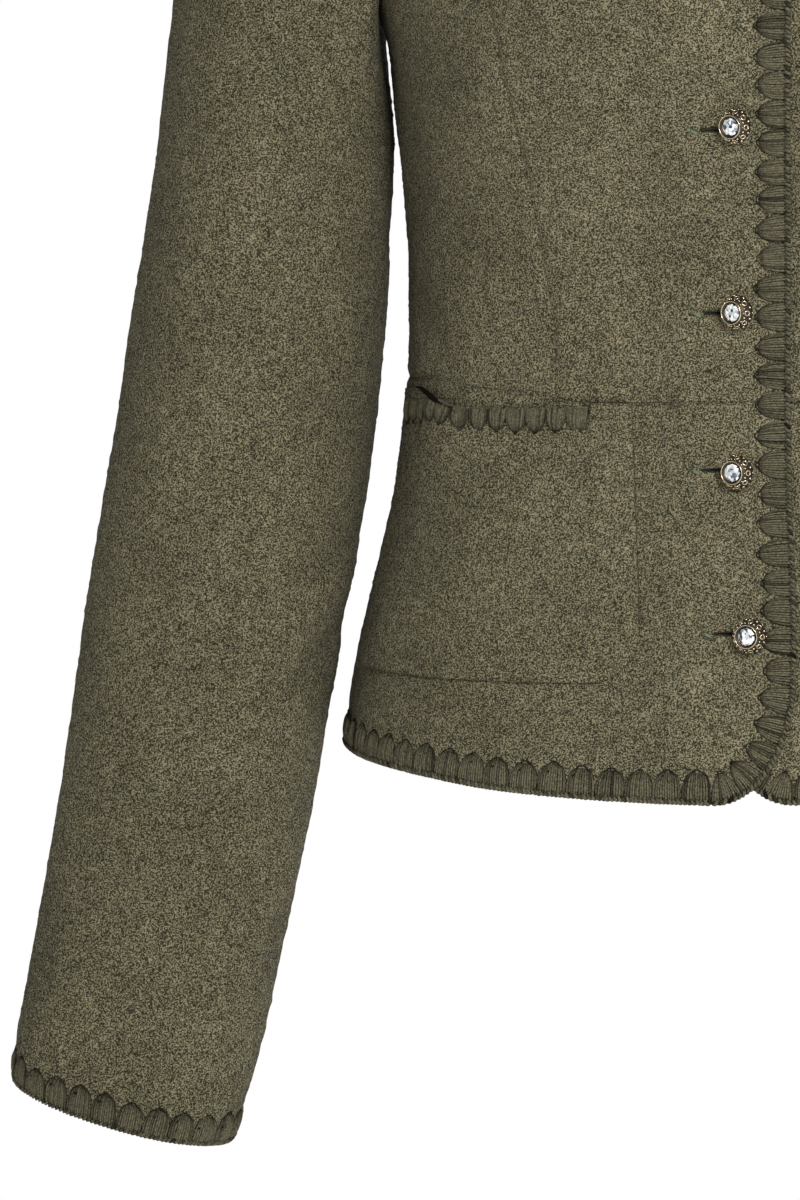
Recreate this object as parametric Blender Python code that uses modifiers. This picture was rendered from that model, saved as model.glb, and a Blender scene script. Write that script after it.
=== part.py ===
"""Dirndl jacket of boiled wool with crochet edging, closed and filled out as it is worn.

Lengths are in millimetres. Heights are measured up from the lowest edge of the front hem,
and the origin lies HOLD_HEIGHT above it. The front faces -Y and the wearer's right is at -X.
A side is worked out for +X first: "across" is the distance from the centre line towards that
side, and the wearer's right side is its mirror image. An angle runs round the body from the
front centre (0) over the side (90) to the back centre (180).
"""

import math

import bmesh
import bpy
import numpy as np

MM = 0.001
HOLD_HEIGHT = 530.0
WALL = 2.0
SEAM_PULL = 0.2
WELD = 1e-7
COLLECTION = "dirndl_jacket"
CUTTERS = "cutters"
WOOL = (0.089, 0.079, 0.047, 1.0)
YARN = (0.060, 0.052, 0.030, 1.0)
METAL = (0.30, 0.26, 0.20, 1.0)

# The body of the jacket, one row for each height
ROUNDNESS = 2.3
BODY_COLUMNS = ("height", "half_width", "front_depth", "back_depth")
BODY = np.array([
    (-10, 173.0, 130, 126),
    (0, 171.0, 128, 124),
    (40, 168.5, 124, 120),
    (89, 159.0, 114, 112),
    (140, 147.0, 104, 100),
    (173, 143.5, 100, 94),
    (205, 142.0, 97, 90),
    (235, 142.5, 99, 90),
    (265, 144.5, 106, 94),
    (300, 148.0, 117, 100),
    (325, 151.0, 122, 104),
    (347, 157.0, 122, 107),
    (380, 163.0, 116, 110),
    (420, 172.0, 106, 110),
    (465, 182.0, 88, 102),
    (506, 188.0, 62, 80),
    (530, 130.0, 42, 52),
    (545, 95.0, 26, 31),
    (552, 78.0, 18, 20),
])
BUST_RISE = 12.0
BUST_ACROSS = 88.0
BUST_HEIGHT = 318.0
BUST_SPREAD = 55.0

# Edges that run round the body, by angle
WAIST = np.array([(0, 175), (22, 175), (34, 178.5), (47, 181), (58, 183.4), (90, 185), (180, 181)])
HEM = np.array([(0, 11.6), (17, 13.8), (33, 16.8), (49, 21.5), (66, 25.8), (90, 30.5), (135, 22), (180, 16)])

# The fronts: the reach of each past the centre, by height, then its rounded lower corner
REACH_COLUMNS = ("height", "top_front", "under_front")
REACH = np.array([
    (62, 20.1, 8.5),
    (73, 20.1, 8.8),
    (106, 19.4, 12.4),
    (140, 18.0, 16.4),
    (175, 17.6, 17.6),
    (470, 17.6, 17.6),
])
CORNER_TOP = 62.0
CORNER_WIDTH = 31.4
CORNER_ROWS = 5
NECK_CORNER_ROWS = 3
FINE = 4
NECK_HALF_WIDTH = 78.0
NECK_TOP = 552.0
NECK_DROP_FRONT = 87.0
NECK_DROP_BACK = 17.0
NECK_CORNER_HEIGHT = 450.0
LAP_LIFT = 5.0
LAP_FULL = 23.5
LAP_END = 42.0

# Seams over the bust and the back, as height and distance across
FRONT_SEAM = np.array([(170, 77.5), (202, 77), (221, 80), (259, 87), (280, 91.5), (305, 98),
                       (342, 105.5), (380, 120), (405, 138), (420, 152.6)])
BACK_SEAM = np.array([(175, 58), (220, 58), (280, 68), (340, 88), (380, 118), (400, 139), (412, 157)])

# The armhole from the underarm to the shoulder tip, as angle and height. The seams meet it in row 6.
ARMHOLE_FRONT = ((90, 347), (80, 348.5), (71.5, 354), (66, 365), (62.8, 380), (61, 399), (60.7, 420),
                 (62, 439), (65, 457), (69.5, 473), (75.5, 487), (82.5, 498.5), (90, 506))
ARMHOLE_BACK = ((90, 347), (100, 348.5), (107.5, 354.5), (112, 366), (114, 381), (114.5, 397), (114, 412),
                (112.5, 432), (110, 451), (106.5, 469), (102, 484), (96.5, 496.5), (90, 506))
SEAM_ROW = 6

# Grid lines of the panels
BODICE_ROWS = 12
EDGE_ROWS = 9
NECK_TURNS = (17.5, 32.6, 49, 65, 78, 90)
NECK_FINE_STEPS = 30
FRONT_LAP_COLUMNS = (3.0, LAP_FULL, 32.0, LAP_END)
FRONT_BUST_COLUMNS = 5
SIDE_COLUMNS = SEAM_ROW
BACK_COLUMNS = 6
PEPLUM_EDGE_HEIGHTS = (175, 152, 129, 106, 84, 62)
PEPLUM_FRONT_COLUMNS = (0, 0.28, 0.505, 0.657, 0.753, 0.857, 1.0)
PEPLUM_BACK_ROWS = 6
PEPLUM_BACK_COLUMNS = 14

# The pocket: its front line by height, then the columns from that line to the side seam
POCKET_LINE = np.array([(0, 41.0), (59, 41.4), (82, 41.4), (120, 42.5), (175, 44.9)])
POCKET_COLUMNS = (0, 0.02, 0.05, 0.09, 0.105, 0.17, 0.26, 0.37, 0.49, 0.61, 0.73, 0.86, 1.0)
POCKET_STEP_COLUMN = 3
POCKET_ROWS = 6
POCKET_SEWN_TOP = 174.4
POCKET_OPEN_TOP = 170.5
POCKET_BOTTOM = np.array([(15, 58.4), (40, 58.8), (65, 61), (90, 65)])
POCKET_CORNER = 22.0
POCKET_GAP = 0.4
POCKET_GAPE = 2.6
POCKET_GAPE_AT = 0.73
POCKET_GAPE_SPREAD = 0.14
POCKET_GAPE_DEPTH = 30.0

# The sleeve below the underarm, one row for each ring
SLEEVE_COLUMNS = ("height", "centre_across", "width", "centre_y", "depth")
SLEEVE = np.array([
    (282, 200.0, 102.0, 0, 112),
    (243, 204.0, 106.0, 0, 113),
    (205, 208.0, 110.5, -1, 112),
    (166, 212.6, 112.0, -3, 109),
    (127, 218.4, 113.5, -5, 105),
    (89, 224.8, 112.6, -8, 100),
    (50, 230.7, 110.8, -12, 94),
    (11, 236.3, 110.0, -17, 89),
    (-26, 242.9, 108.5, -22, 84),
    (-64, 250.0, 107.0, -28, 79),
    (-98, 256.8, 103.5, -33, 75),
    (-124, 262.6, 94.5, -37, 69),
])
CUFF_TILT = 12.9
CUFF_DROOP = 7.0
TILT_OF_LAST_RINGS = (0.45, 1.0)
SLEEVE_ROUNDNESS = 2.1
SLEEVE_STATIONS = 24
CAP_STEPS = (0.07, 0.2, 0.36, 0.54, 0.77)
CAP_START = 40.0
CAP_END = 88.0
CAP_END_LEAST = 12.0
CAP_FALL = -0.33
CAP_GAP = 0.35
SLEEVE_FOLDS = 3
SLEEVE_FOLD_DEPTH = 0.9

# The crochet edging: a rope outside the cloth's edge and shells over its outer face
SHELL_PITCH = 12.5
SHELL_TIP = 10.5
SHELL_VALLEY = 4.0
POCKET_SHELL_PITCH = 9.6
ROPE_SECTION = ((-3.6, -1.5), (-3.2, 1.2), (None, 1.4), (None, 0.7), (-0.6, 0.7), (-0.6, -1.9))
NECK_ROPE_SECTION = ((-5.0, -1.3), (-4.6, 1.4), (None, 1.8), (None, 1.05), (-1.9, 1.05), (-1.9, -1.7))
LAP_CLEARANCE = 1.0
LAP_CLEARANCE_SPREAD = 9.0
POCKET_ROPE_SECTION = ((-2.9, -1.5), (-2.6, 0.9), (None, 1.25), (None, 0.4), (-0.45, 0.4), (-0.45, -1.7))
BAND_GAP = 1.2

# Buttons, as height and distance from the centre line towards +X
BUTTONS = ((438, -2.5), (364, -2.5), (289.5, -2.5), (212.6, -0.8), (146.5, -1.2), (78.7, 3.7))
BUTTON_PROFILE = ((0, 6.9), (3.4, 6.9), (3.6, 7.5), (4.6, 7.3), (5.6, 5.6), (6.5, 3.4), (6.6, 1.9),
                  (5.4, 0.9), (0.9, 0.9), (0.9, -4.7), (0, -4.7))
BUTTON_STEPS = 10
BUTTON_SEAT = 0.3
BUTTONHOLE = (17.0, 2.6, 9.0)
BUTTONHOLE_SHIFT = -6.0


def smooth(table, at, column=1):
    """One column of a table at other places, by a cubic that never overshoots its rows."""
    knots = table[:, 0].astype(float)
    values = table[:, column].astype(float)
    steps = np.diff(knots)
    slopes = np.diff(values) / steps
    tangents = np.zeros(len(knots))
    tangents[0] = slopes[0]
    tangents[-1] = slopes[-1]
    before, after = slopes[:-1], slopes[1:]
    same_way = before * after > 0
    total = np.where(same_way, before + after, 1.0)
    tangents[1:-1] = np.where(same_way, 2 * before * after / total, 0.0)
    at = np.clip(np.asarray(at, float), knots[0], knots[-1])
    row = np.clip(np.searchsorted(knots, at, side="right") - 1, 0, len(steps) - 1)
    part = (at - knots[row]) / steps[row]
    start = (1 + 2 * part) * (1 - part) ** 2 * values[row]
    end = part**2 * (3 - 2 * part) * values[row + 1]
    leave = part * (1 - part) ** 2 * steps[row] * tangents[row]
    arrive = part**2 * (part - 1) * steps[row] * tangents[row + 1]
    return start + end + leave + arrive


def ease(value):
    """0 to 1 with a soft start and end."""
    value = np.clip(value, 0, 1)
    return value * value * (3 - 2 * value)


def half_width(height):
    return smooth(BODY, height, BODY_COLUMNS.index("half_width"))


def angle_at(across, height):
    """The angle round the front at a distance across."""
    share = np.clip(np.abs(across) / half_width(height), 0, 1)
    return np.sign(across) * np.degrees(np.arcsin(share ** (ROUNDNESS / 2)))


def base_surface(angle, height):
    """Points of the body, without the lap, for the side at +X."""
    turn = np.radians(angle)
    sine, cosine = np.sin(turn), np.cos(turn)
    front = smooth(BODY, height, BODY_COLUMNS.index("front_depth"))
    back = smooth(BODY, height, BODY_COLUMNS.index("back_depth"))
    across = half_width(height) * np.sign(sine) * np.abs(sine) ** (2 / ROUNDNESS)
    reach = np.sign(cosine) * np.abs(cosine) ** (2 / ROUNDNESS)
    depth = np.where(cosine > 0, front, back)
    side = (np.abs(across) - BUST_ACROSS) / BUST_SPREAD
    up = (height - BUST_HEIGHT) / BUST_SPREAD
    bust = np.where(cosine > 0, BUST_RISE * np.exp(-side**2 - up**2) * ease(np.abs(cosine) * 2), 0)
    return np.stack([across, -depth * reach - bust, height + 0 * across], axis=-1)


def surface_normal(surface, angle, height):
    """Unit normals out of a surface, from its slopes along both of its directions."""
    small_angle, small_height = 0.05, 0.2
    round_body = surface(angle + small_angle, height) - surface(angle - small_angle, height)
    upwards = surface(angle, height + small_height) - surface(angle, height - small_height)
    normal = np.cross(round_body, upwards)
    return normal / np.linalg.norm(normal, axis=-1, keepdims=True)


def lapped_surface(angle, height):
    """The body where the top front is lifted over the under front."""
    points = base_surface(angle, height)
    share = np.clip((LAP_END - points[..., 0]) / (LAP_END - LAP_FULL), 0, 1)
    lift = LAP_LIFT * np.where(np.abs(angle) < 90, share, 0)
    return points + lift[..., None] * surface_normal(base_surface, angle, height)


def edge_reach(height, top):
    column = REACH_COLUMNS.index("top_front" if top else "under_front")
    return smooth(REACH, height, column)


def neck_point(across, front=True):
    """Angle and height of the neckline at a distance across."""
    drop = NECK_DROP_FRONT if front else NECK_DROP_BACK
    height = NECK_TOP - drop * math.sqrt(max(0.0, 1 - (across / NECK_HALF_WIDTH) ** 2))
    angle = float(angle_at(across, height))
    return (angle, height) if front else (180 - angle, height)


def neckline(turns, front=True):
    """Half of the neckline at turns from its middle (0) to the shoulder (90)."""
    return [neck_point(NECK_HALF_WIDTH * math.sin(math.radians(turn)), front) for turn in turns]


def front_edge(top, corner_rows=NECK_CORNER_ROWS):
    """The bodice front's inner edge from the waist to the neck corner and on to the shoulder."""
    places = []
    for height in np.linspace(WAIST[0, 1], NECK_CORNER_HEIGHT, EDGE_ROWS + 1):
        places.append((float(angle_at(-edge_reach(height, top), height)), height))
    reach = float(edge_reach(NECK_CORNER_HEIGHT, top))
    corner_height = neck_point(-reach)[1]
    centre_height = neck_point(0)[1]
    for part in np.linspace(0, 1, corner_rows + 1)[1:]:
        across = -reach * (1 - part**2)
        height = (1 - part) ** 2 * NECK_CORNER_HEIGHT + 2 * part * (1 - part) * corner_height
        height += part**2 * centre_height
        places.append((float(angle_at(across, height)), height))
    return np.array(places + neckline(NECK_TURNS))


def seam_places(table, back, armhole):
    """A long seam from the waist to the armhole, then the armhole on to the shoulder tip."""
    top = armhole[SEAM_ROW][1]
    guess = 180 - 25 if back else 35
    bottom = float(smooth(WAIST, guess))
    places = []
    for height in np.linspace(bottom, top, BODICE_ROWS + 1):
        angle = float(angle_at(smooth(table, height), height))
        places.append((180 - angle if back else angle, height))
    places[-1] = armhole[SEAM_ROW]
    places += armhole[SEAM_ROW + 1:]
    return np.array(places)


def back_centre():
    """The back's centre line, then its half of the neckline."""
    bottom = float(smooth(WAIST, 180))
    top = NECK_TOP - NECK_DROP_BACK
    places = [(180.0, height) for height in np.linspace(bottom, top, BODICE_ROWS + 1)]
    return np.array(places + neckline(NECK_TURNS, front=False))


def between(inner, outer, columns):
    """Rows of places between two edges that have as many rows."""
    share = np.atleast_2d(np.asarray(columns, float))[:, :, None]
    places = inner[:, None, :] * (1 - share) + outer[:, None, :] * share
    waist_error = smooth(WAIST, places[0, :, 0]) - places[0, :, 1]
    for row, part in enumerate((1.0, 0.75, 0.5, 0.25)):
        places[row, :, 1] += part * waist_error
    return places


def front_shares(inner, outer):
    """Where the columns of a front cross each row: some follow the lap, the others share out the bust."""
    rows = []
    for (start, low), (end, high) in zip(inner[: BODICE_ROWS + 1], outer):
        marks = [0.0]
        for across in FRONT_LAP_COLUMNS:
            rough = (float(angle_at(across, low)) - start) / (end - start)
            marks.append((float(angle_at(across, low + (high - low) * rough)) - start) / (end - start))
        marks += list(np.linspace(marks[-1], 1, FRONT_BUST_COLUMNS + 1)[1:])
        rows.append(marks)
    rows += [rows[-1]] * len(NECK_TURNS)
    return np.array(rows)


def side_places(seam, side_angle, armhole):
    """A side panel between its long seam and the side seam, with the armhole as its top row."""
    bottom = float(smooth(WAIST, side_angle))
    heights = np.linspace(bottom, armhole[0][1], BODICE_ROWS + 1)
    side = np.stack([np.full(len(heights), float(side_angle)), heights], axis=1)
    inner = seam[: BODICE_ROWS + 1]
    columns = np.linspace(0, 1, SIDE_COLUMNS + 1)
    places = between(inner, side, columns)
    top = np.array(armhole[SEAM_ROW::-1])
    rise = top - places[-1]
    for row in range(BODICE_ROWS + 1):
        places[row] += rise * (row / BODICE_ROWS) ** 3
    return places


def peplum_rows(top, corner_rows=CORNER_ROWS):
    """Shares of the peplum's height from its hem (0) to the waist (1), and the reach at each."""
    hem, waist = HEM[0, 1], WAIST[0, 1]
    rows = []
    for height in PEPLUM_EDGE_HEIGHTS:
        rows.append(((height - hem) / (waist - hem), -float(edge_reach(height, top))))
    reach = float(edge_reach(CORNER_TOP, top))
    for turn in np.linspace(0, math.pi / 2, corner_rows + 1)[1:]:
        height = CORNER_TOP - (CORNER_TOP - hem) * math.sin(turn)
        across = -reach + CORNER_WIDTH * (1 - math.cos(turn))
        rows.append(((height - hem) / (waist - hem), across))
    return rows[::-1]


def peplum_height(angle, share):
    hem = smooth(HEM, angle)
    return hem + (smooth(WAIST, angle) - hem) * share


def peplum_edge(top, corner_rows):
    """The peplum front's inner edge from its hem to the waist."""
    places = []
    for share, across in peplum_rows(top, corner_rows):
        rough = float(peplum_height(0.0, share))
        angle = float(angle_at(across, rough))
        places.append((angle, float(peplum_height(angle, share))))
    return np.array(places)


def peplum_front_places(top):
    """The peplum front, with one column on the pocket's front line."""
    rows = []
    for share, across in peplum_rows(top):
        rough = float(peplum_height(0.0, share))
        edge = float(angle_at(across, rough))
        line = float(angle_at(smooth(POCKET_LINE, rough), rough))
        angles = [edge + (line - edge) * part for part in PEPLUM_FRONT_COLUMNS]
        angles += [line + (90 - line) * part for part in POCKET_COLUMNS[1:]]
        angles = np.array(angles)
        rows.append(np.stack([angles, peplum_height(angles, share)], axis=1))
    return np.array(rows)


def peplum_back_places():
    """The peplum back, from one side seam over the back centre to the other."""
    angles = np.linspace(90, 270, PEPLUM_BACK_COLUMNS + 1)
    folded = 180 - np.abs(angles - 180)
    rows = []
    for share in np.linspace(0, 1, PEPLUM_BACK_ROWS + 1):
        rows.append(np.stack([angles, peplum_height(folded, share)], axis=1))
    return np.array(rows)


def pocket_places():
    """The patch pocket on the peplum's own columns, with its round corner and edged opening."""
    columns = []
    bottom_line = float(smooth(POCKET_BOTTOM, 15))
    line_angle = float(angle_at(smooth(POCKET_LINE, bottom_line), bottom_line))
    for number, part in enumerate(POCKET_COLUMNS):
        angle = line_angle + (90 - line_angle) * part
        along = base_surface(np.array(angle), np.array(bottom_line))[0] - float(smooth(POCKET_LINE, bottom_line))
        inside = min(1.0, max(0.0, 1 - along / POCKET_CORNER))
        bottom = float(smooth(POCKET_BOTTOM, angle)) + POCKET_CORNER * (1 - math.sqrt(1 - inside**2))
        top = POCKET_SEWN_TOP if number <= POCKET_STEP_COLUMN else POCKET_OPEN_TOP
        heights = np.linspace(bottom, top, POCKET_ROWS + 1)
        lines = angle_at(smooth(POCKET_LINE, heights), heights)
        columns.append(np.stack([lines + (90 - lines) * part, heights], axis=1))
    return np.array(columns).transpose(1, 0, 2)


def pocket_surface(angle, height):
    """Outer face of the pocket, which stands away from the peplum where its opening gapes."""
    line = angle_at(smooth(POCKET_LINE, height), height)
    along = ((angle - line) / (90 - line) - POCKET_GAPE_AT) / POCKET_GAPE_SPREAD
    down = np.clip((POCKET_OPEN_TOP - height) / POCKET_GAPE_DEPTH, 0, 1)
    rise = POCKET_GAP + WALL + POCKET_GAPE * np.exp(-along**2) * (1 - ease(down))
    return base_surface(angle, height) + rise[..., None] * surface_normal(base_surface, angle, height)


def wall_of(surface, places):
    """Outer and inner points of a cloth wall over rows of angles and heights."""
    angle, height = places[..., 0], places[..., 1]
    outer = surface(angle, height)
    return outer, outer - WALL * surface_normal(surface, angle, height)


def pulled(grid, sides=("first_row", "last_row", "first_column", "last_column")):
    """A grid whose named borders are drawn back a little from the seam."""
    grid = grid.copy()
    borders = {
        "first_row": (grid[0], grid[1]),
        "last_row": (grid[-1], grid[-2]),
        "first_column": (grid[:, 0], grid[:, 1]),
        "last_column": (grid[:, -1], grid[:, -2]),
    }
    for name in sides:
        border, inside = borders[name]
        step = inside - border
        border += SEAM_PULL * step / np.linalg.norm(step, axis=-1, keepdims=True)
    return grid


def mirrored(points, side):
    return points * np.array([side, 1.0, 1.0])


def new_object(name, mesh, colour, collection, roughness=0.95, metallic=0.0):
    """An object with a material of its own, linked to a collection."""
    material = bpy.data.materials.new(name)
    material.use_nodes = True
    shader = material.node_tree.nodes["Principled BSDF"]
    shader.inputs["Base Color"].default_value = colour
    shader.inputs["Roughness"].default_value = roughness
    shader.inputs["Metallic"].default_value = metallic
    mesh.materials.append(material)
    made = bpy.data.objects.new(name, mesh)
    collection.objects.link(made)
    return made


def to_scene(point):
    return (point[0] * MM, point[1] * MM, (point[2] - HOLD_HEIGHT) * MM)


def grid_into(bm, layer, points, first):
    """Adds a grid of points to a mesh and numbers its vertices from first on."""
    rows, columns = points.shape[:2]
    made = bmesh.ops.create_grid(bm, x_segments=columns - 1, y_segments=rows - 1, size=0.5)
    for vertex in made["verts"]:
        column = round((vertex.co.x + 0.5) * (columns - 1))
        row = round((vertex.co.y + 0.5) * (rows - 1))
        vertex[layer] = first + row * columns + column
        vertex.co = to_scene(points[row, column])


def shell_mesh(name, patches):
    """A closed cloth wall from patches of outer and inner points, welded where they meet."""
    bm = bmesh.new()
    layer = bm.verts.layers.int.new("station")
    inner_points = []
    for outer, inner in patches:
        grid_into(bm, layer, outer, len(inner_points))
        inner_points += [to_scene(point) for point in inner.reshape(-1, 3)]
    bmesh.ops.remove_doubles(bm, verts=bm.verts[:], dist=WELD)
    bmesh.ops.recalc_face_normals(bm, faces=bm.faces[:])
    made = bmesh.ops.extrude_face_region(bm, geom=bm.faces[:], use_keep_orig=True)
    for part in made["geom"]:
        if isinstance(part, bmesh.types.BMVert):
            part.co = inner_points[part[layer]]
    return finished(bm, name)


def band_mesh(name, sections, closed):
    """A closed body lofted through sections that all have the same number of points."""
    bm = bmesh.new()
    layer = bm.verts.layers.int.new("station")
    ring = np.concatenate([sections, sections[:, :1]], axis=1)
    if closed:
        ring = np.concatenate([ring, ring[:1]], axis=0)
    grid_into(bm, layer, ring, 0)
    bmesh.ops.remove_doubles(bm, verts=bm.verts[:], dist=WELD)
    if not closed:
        bmesh.ops.holes_fill(bm, edges=bm.edges[:], sides=0)
    return finished(bm, name)


def finished(bm, name):
    bmesh.ops.recalc_face_normals(bm, faces=bm.faces[:])
    if bm.calc_volume(signed=True) < 0:
        bmesh.ops.reverse_faces(bm, faces=bm.faces[:])
    for face in bm.faces:
        face.smooth = True
    mesh = bpy.data.meshes.new(name)
    bm.to_mesh(mesh)
    bm.free()
    return mesh


def resampled(places, surface, pitch):
    """Places along an edge at every half pitch, an even number of them."""
    dense = []
    for first, last in zip(places[:-1], places[1:]):
        for part in np.linspace(0, 1, 12, endpoint=False):
            dense.append(first * (1 - part) + last * part)
    dense.append(places[-1])
    dense = np.array(dense)
    points = surface(dense[:, 0], dense[:, 1])
    steps = np.linalg.norm(np.diff(points, axis=0), axis=1)
    length = np.concatenate([[0], np.cumsum(steps)])
    shells = max(1, round(length[-1] / pitch))
    at = np.linspace(BAND_GAP / 2, length[-1] - BAND_GAP / 2, 2 * shells + 1)
    return np.stack([np.interp(at, length, dense[:, 0]), np.interp(at, length, dense[:, 1])], axis=1)


def edge_frames(places, surface, inside_sign):
    """Points, normals and inward directions along an edge of the body."""
    angle, height = places[:, 0], places[:, 1]
    points = surface(angle, height)
    normals = surface_normal(surface, angle, height)
    along = np.gradient(points, axis=0)
    along /= np.linalg.norm(along, axis=1, keepdims=True)
    inward = inside_sign * np.cross(normals, along)
    return points, normals, inward


def stepped(surface, place, direction, distance):
    """The point of a surface a short way from a place, and the normal there."""
    small = 0.05
    here = surface(place[:, 0], place[:, 1])
    by_angle = (surface(place[:, 0] + small, place[:, 1]) - here) / small
    by_height = (surface(place[:, 0], place[:, 1] - small) - here) / -small
    moved = []
    for row in range(len(place)):
        slopes = np.stack([by_angle[row], by_height[row]], axis=1)
        change = np.linalg.lstsq(slopes, direction[row] * distance[row], rcond=None)[0]
        moved.append(place[row] + change)
    moved = np.array(moved)
    return surface(moved[:, 0], moved[:, 1]), surface_normal(surface, moved[:, 0], moved[:, 1])


def shell_depths(count, tip, valley):
    """How far in each station of the edging reaches: valleys and tips by turns."""
    return np.where(np.arange(count) % 2 == 0, valley, tip)


def edging_sections(places, surface, inside_sign, pitch=SHELL_PITCH, section=ROPE_SECTION, tip=SHELL_TIP):
    """Sections of the crochet edging along an edge of the body."""
    stations = resampled(places, surface, pitch)
    points, normals, inward = edge_frames(stations, surface, inside_sign)
    depths = shell_depths(len(stations), tip, SHELL_VALLEY)
    over, over_normals = stepped(surface, stations, inward, depths)
    if surface is whole_surface:
        from_lap = (points[:, 0] + LAP_END) / LAP_CLEARANCE_SPREAD
        rise = LAP_CLEARANCE * np.exp(-from_lap**2)[:, None] * normals
        points = points + rise
        over = over + rise
    sections = []
    for across, up in section:
        if across is None:
            sections.append(over + up * over_normals)
        else:
            sections.append(points + across * inward + up * normals)
    return np.stack(sections, axis=1)


def sleeve_rings():
    """The sleeve's outer points, ring by ring from the armhole to the cuff, for the side at +X."""
    front = [ARMHOLE_FRONT[row] for row in range(len(ARMHOLE_FRONT) - 1, -1, -1)]
    back = [ARMHOLE_BACK[row] for row in range(1, len(ARMHOLE_BACK) - 1)]
    places = np.array(front + back, float)
    edge = base_surface(places[:, 0], places[:, 1])
    normals = surface_normal(base_surface, places[:, 0], places[:, 1])
    along = np.roll(edge, -1, axis=0) - np.roll(edge, 1, axis=0)
    away = np.cross(normals, along)
    away /= np.linalg.norm(away, axis=1, keepdims=True)
    to_centre = edge.mean(axis=0) - edge
    away *= np.sign((away * to_centre).sum(axis=1))[:, None]
    start = edge + CAP_GAP * (away + normals)
    turns = np.radians(np.arange(SLEEVE_STATIONS) * 360 / SLEEVE_STATIONS)
    lower = []
    tilts = [0.0] * (len(SLEEVE) - len(TILT_OF_LAST_RINGS)) + list(TILT_OF_LAST_RINGS)
    for row, tilt in zip(SLEEVE, tilts):
        height, centre, width, centre_y, depth = row
        fold = SLEEVE_FOLD_DEPTH * np.cos(SLEEVE_FOLDS * turns + height / 90)
        power = 2 / SLEEVE_ROUNDNESS
        out = np.sign(np.cos(turns)) * np.abs(np.cos(turns)) ** power
        forward = np.sign(np.sin(turns)) * np.abs(np.sin(turns)) ** power
        x = centre + (width / 2) * out + fold * np.cos(turns) * np.abs(np.sin(turns))
        y = centre_y - (depth / 2) * forward - fold * np.sin(turns)
        z = height + tilt * (CUFF_TILT * out - CUFF_DROOP * forward)
        lower.append(np.stack([x, y, z], axis=1))
    axis = np.array([SLEEVE[1][1] - SLEEVE[0][1], 0, SLEEVE[1][0] - SLEEVE[0][0]])
    axis /= np.linalg.norm(axis)
    weight = ((1 + np.cos(turns)) / 2)[:, None]
    leave = np.array([1.0, 0.0, CAP_FALL])
    second = start + CAP_START * weight * leave
    third = lower[0] - (CAP_END_LEAST + CAP_END * weight) * axis
    rings = [start]
    for part in CAP_STEPS:
        rest = 1 - part
        ring = rest**3 * start + 3 * rest**2 * part * second
        ring += 3 * rest * part**2 * third + part**3 * lower[0]
        rings.append(ring)
    return np.array(rings + lower)


def ring_normals(rings):
    """Unit normals out of a tube of rings."""
    along = np.gradient(rings, axis=0)
    around = np.roll(rings, -1, axis=1) - np.roll(rings, 1, axis=1)
    normals = np.cross(around, along)
    normals /= np.linalg.norm(normals, axis=2, keepdims=True)
    outwards = (normals * (rings - rings.mean(axis=1, keepdims=True))).sum(axis=2)
    return normals * np.sign(np.median(outwards))


def sleeve_grids():
    rings = sleeve_rings()
    inner = rings - WALL * ring_normals(rings)
    close = lambda grid: np.concatenate([grid, grid[:, :1]], axis=1)
    return close(rings), close(inner)


def cuff_sections():
    """Sections of the edging round the sleeve's end."""
    rings = sleeve_rings()
    normals = ring_normals(rings)
    last, above = rings[-1], rings[-2]
    station = np.arange(2 * SLEEVE_STATIONS) / 2
    low = np.floor(station).astype(int)
    part = (station - low)[:, None]
    low, high = low % SLEEVE_STATIONS, (low + 1) % SLEEVE_STATIONS
    edge = last[low] * (1 - part) + last[high] * part
    up = above[low] * (1 - part) + above[high] * part - edge
    up /= np.linalg.norm(up, axis=1, keepdims=True)
    normal = normals[-1][low] * (1 - part) + normals[-1][high] * part
    normal /= np.linalg.norm(normal, axis=1, keepdims=True)
    depths = shell_depths(len(edge), SHELL_TIP, SHELL_VALLEY)[:, None]
    sections = []
    for across, rise in ROPE_SECTION:
        reach = depths if across is None else across
        sections.append(edge + reach * up + rise * normal)
    return np.stack(sections, axis=1)


def build_bodice(parts):
    seam_front = seam_places(FRONT_SEAM, False, ARMHOLE_FRONT)
    seam_back = seam_places(BACK_SEAM, True, ARMHOLE_BACK)
    sides = {"right": (-1, True, lapped_surface), "left": (1, False, base_surface)}
    for word, (side, top, surface) in sides.items():
        edge = front_edge(top)
        places = between(edge, seam_front, front_shares(edge, seam_front))
        outer, inner = wall_of(surface, places)
        add_panel(parts, f"front_{word}", [(pulled(outer), pulled(inner))], side)
        places = side_places(seam_front, 90, ARMHOLE_FRONT)
        outer, inner = wall_of(base_surface, places)
        add_panel(parts, f"side_front_{word}", [(pulled(outer), pulled(inner))], side)
        places = side_places(seam_back, 90, ARMHOLE_BACK)
        outer, inner = wall_of(base_surface, places)
        add_panel(parts, f"side_back_{word}", [(pulled(outer), pulled(inner))], side)
    places = between(back_centre(), seam_back, np.linspace(0, 1, BACK_COLUMNS + 1))
    outer, inner = wall_of(base_surface, places)
    sides = ("first_row", "last_row", "last_column")
    half = (pulled(outer, sides), pulled(inner, sides))
    neck = slice(BODICE_ROWS + 1, None)
    for grid in half:
        grid[: BODICE_ROWS + 1, 0, 0] = 0.0
        inside = grid[neck, 1] - grid[neck, 0]
        grid[neck, 0] += SEAM_PULL * inside / np.linalg.norm(inside, axis=1, keepdims=True)
    other = tuple(mirrored(grid, -1) for grid in half)
    add_panel(parts, "back", [half, other], 1)


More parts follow.
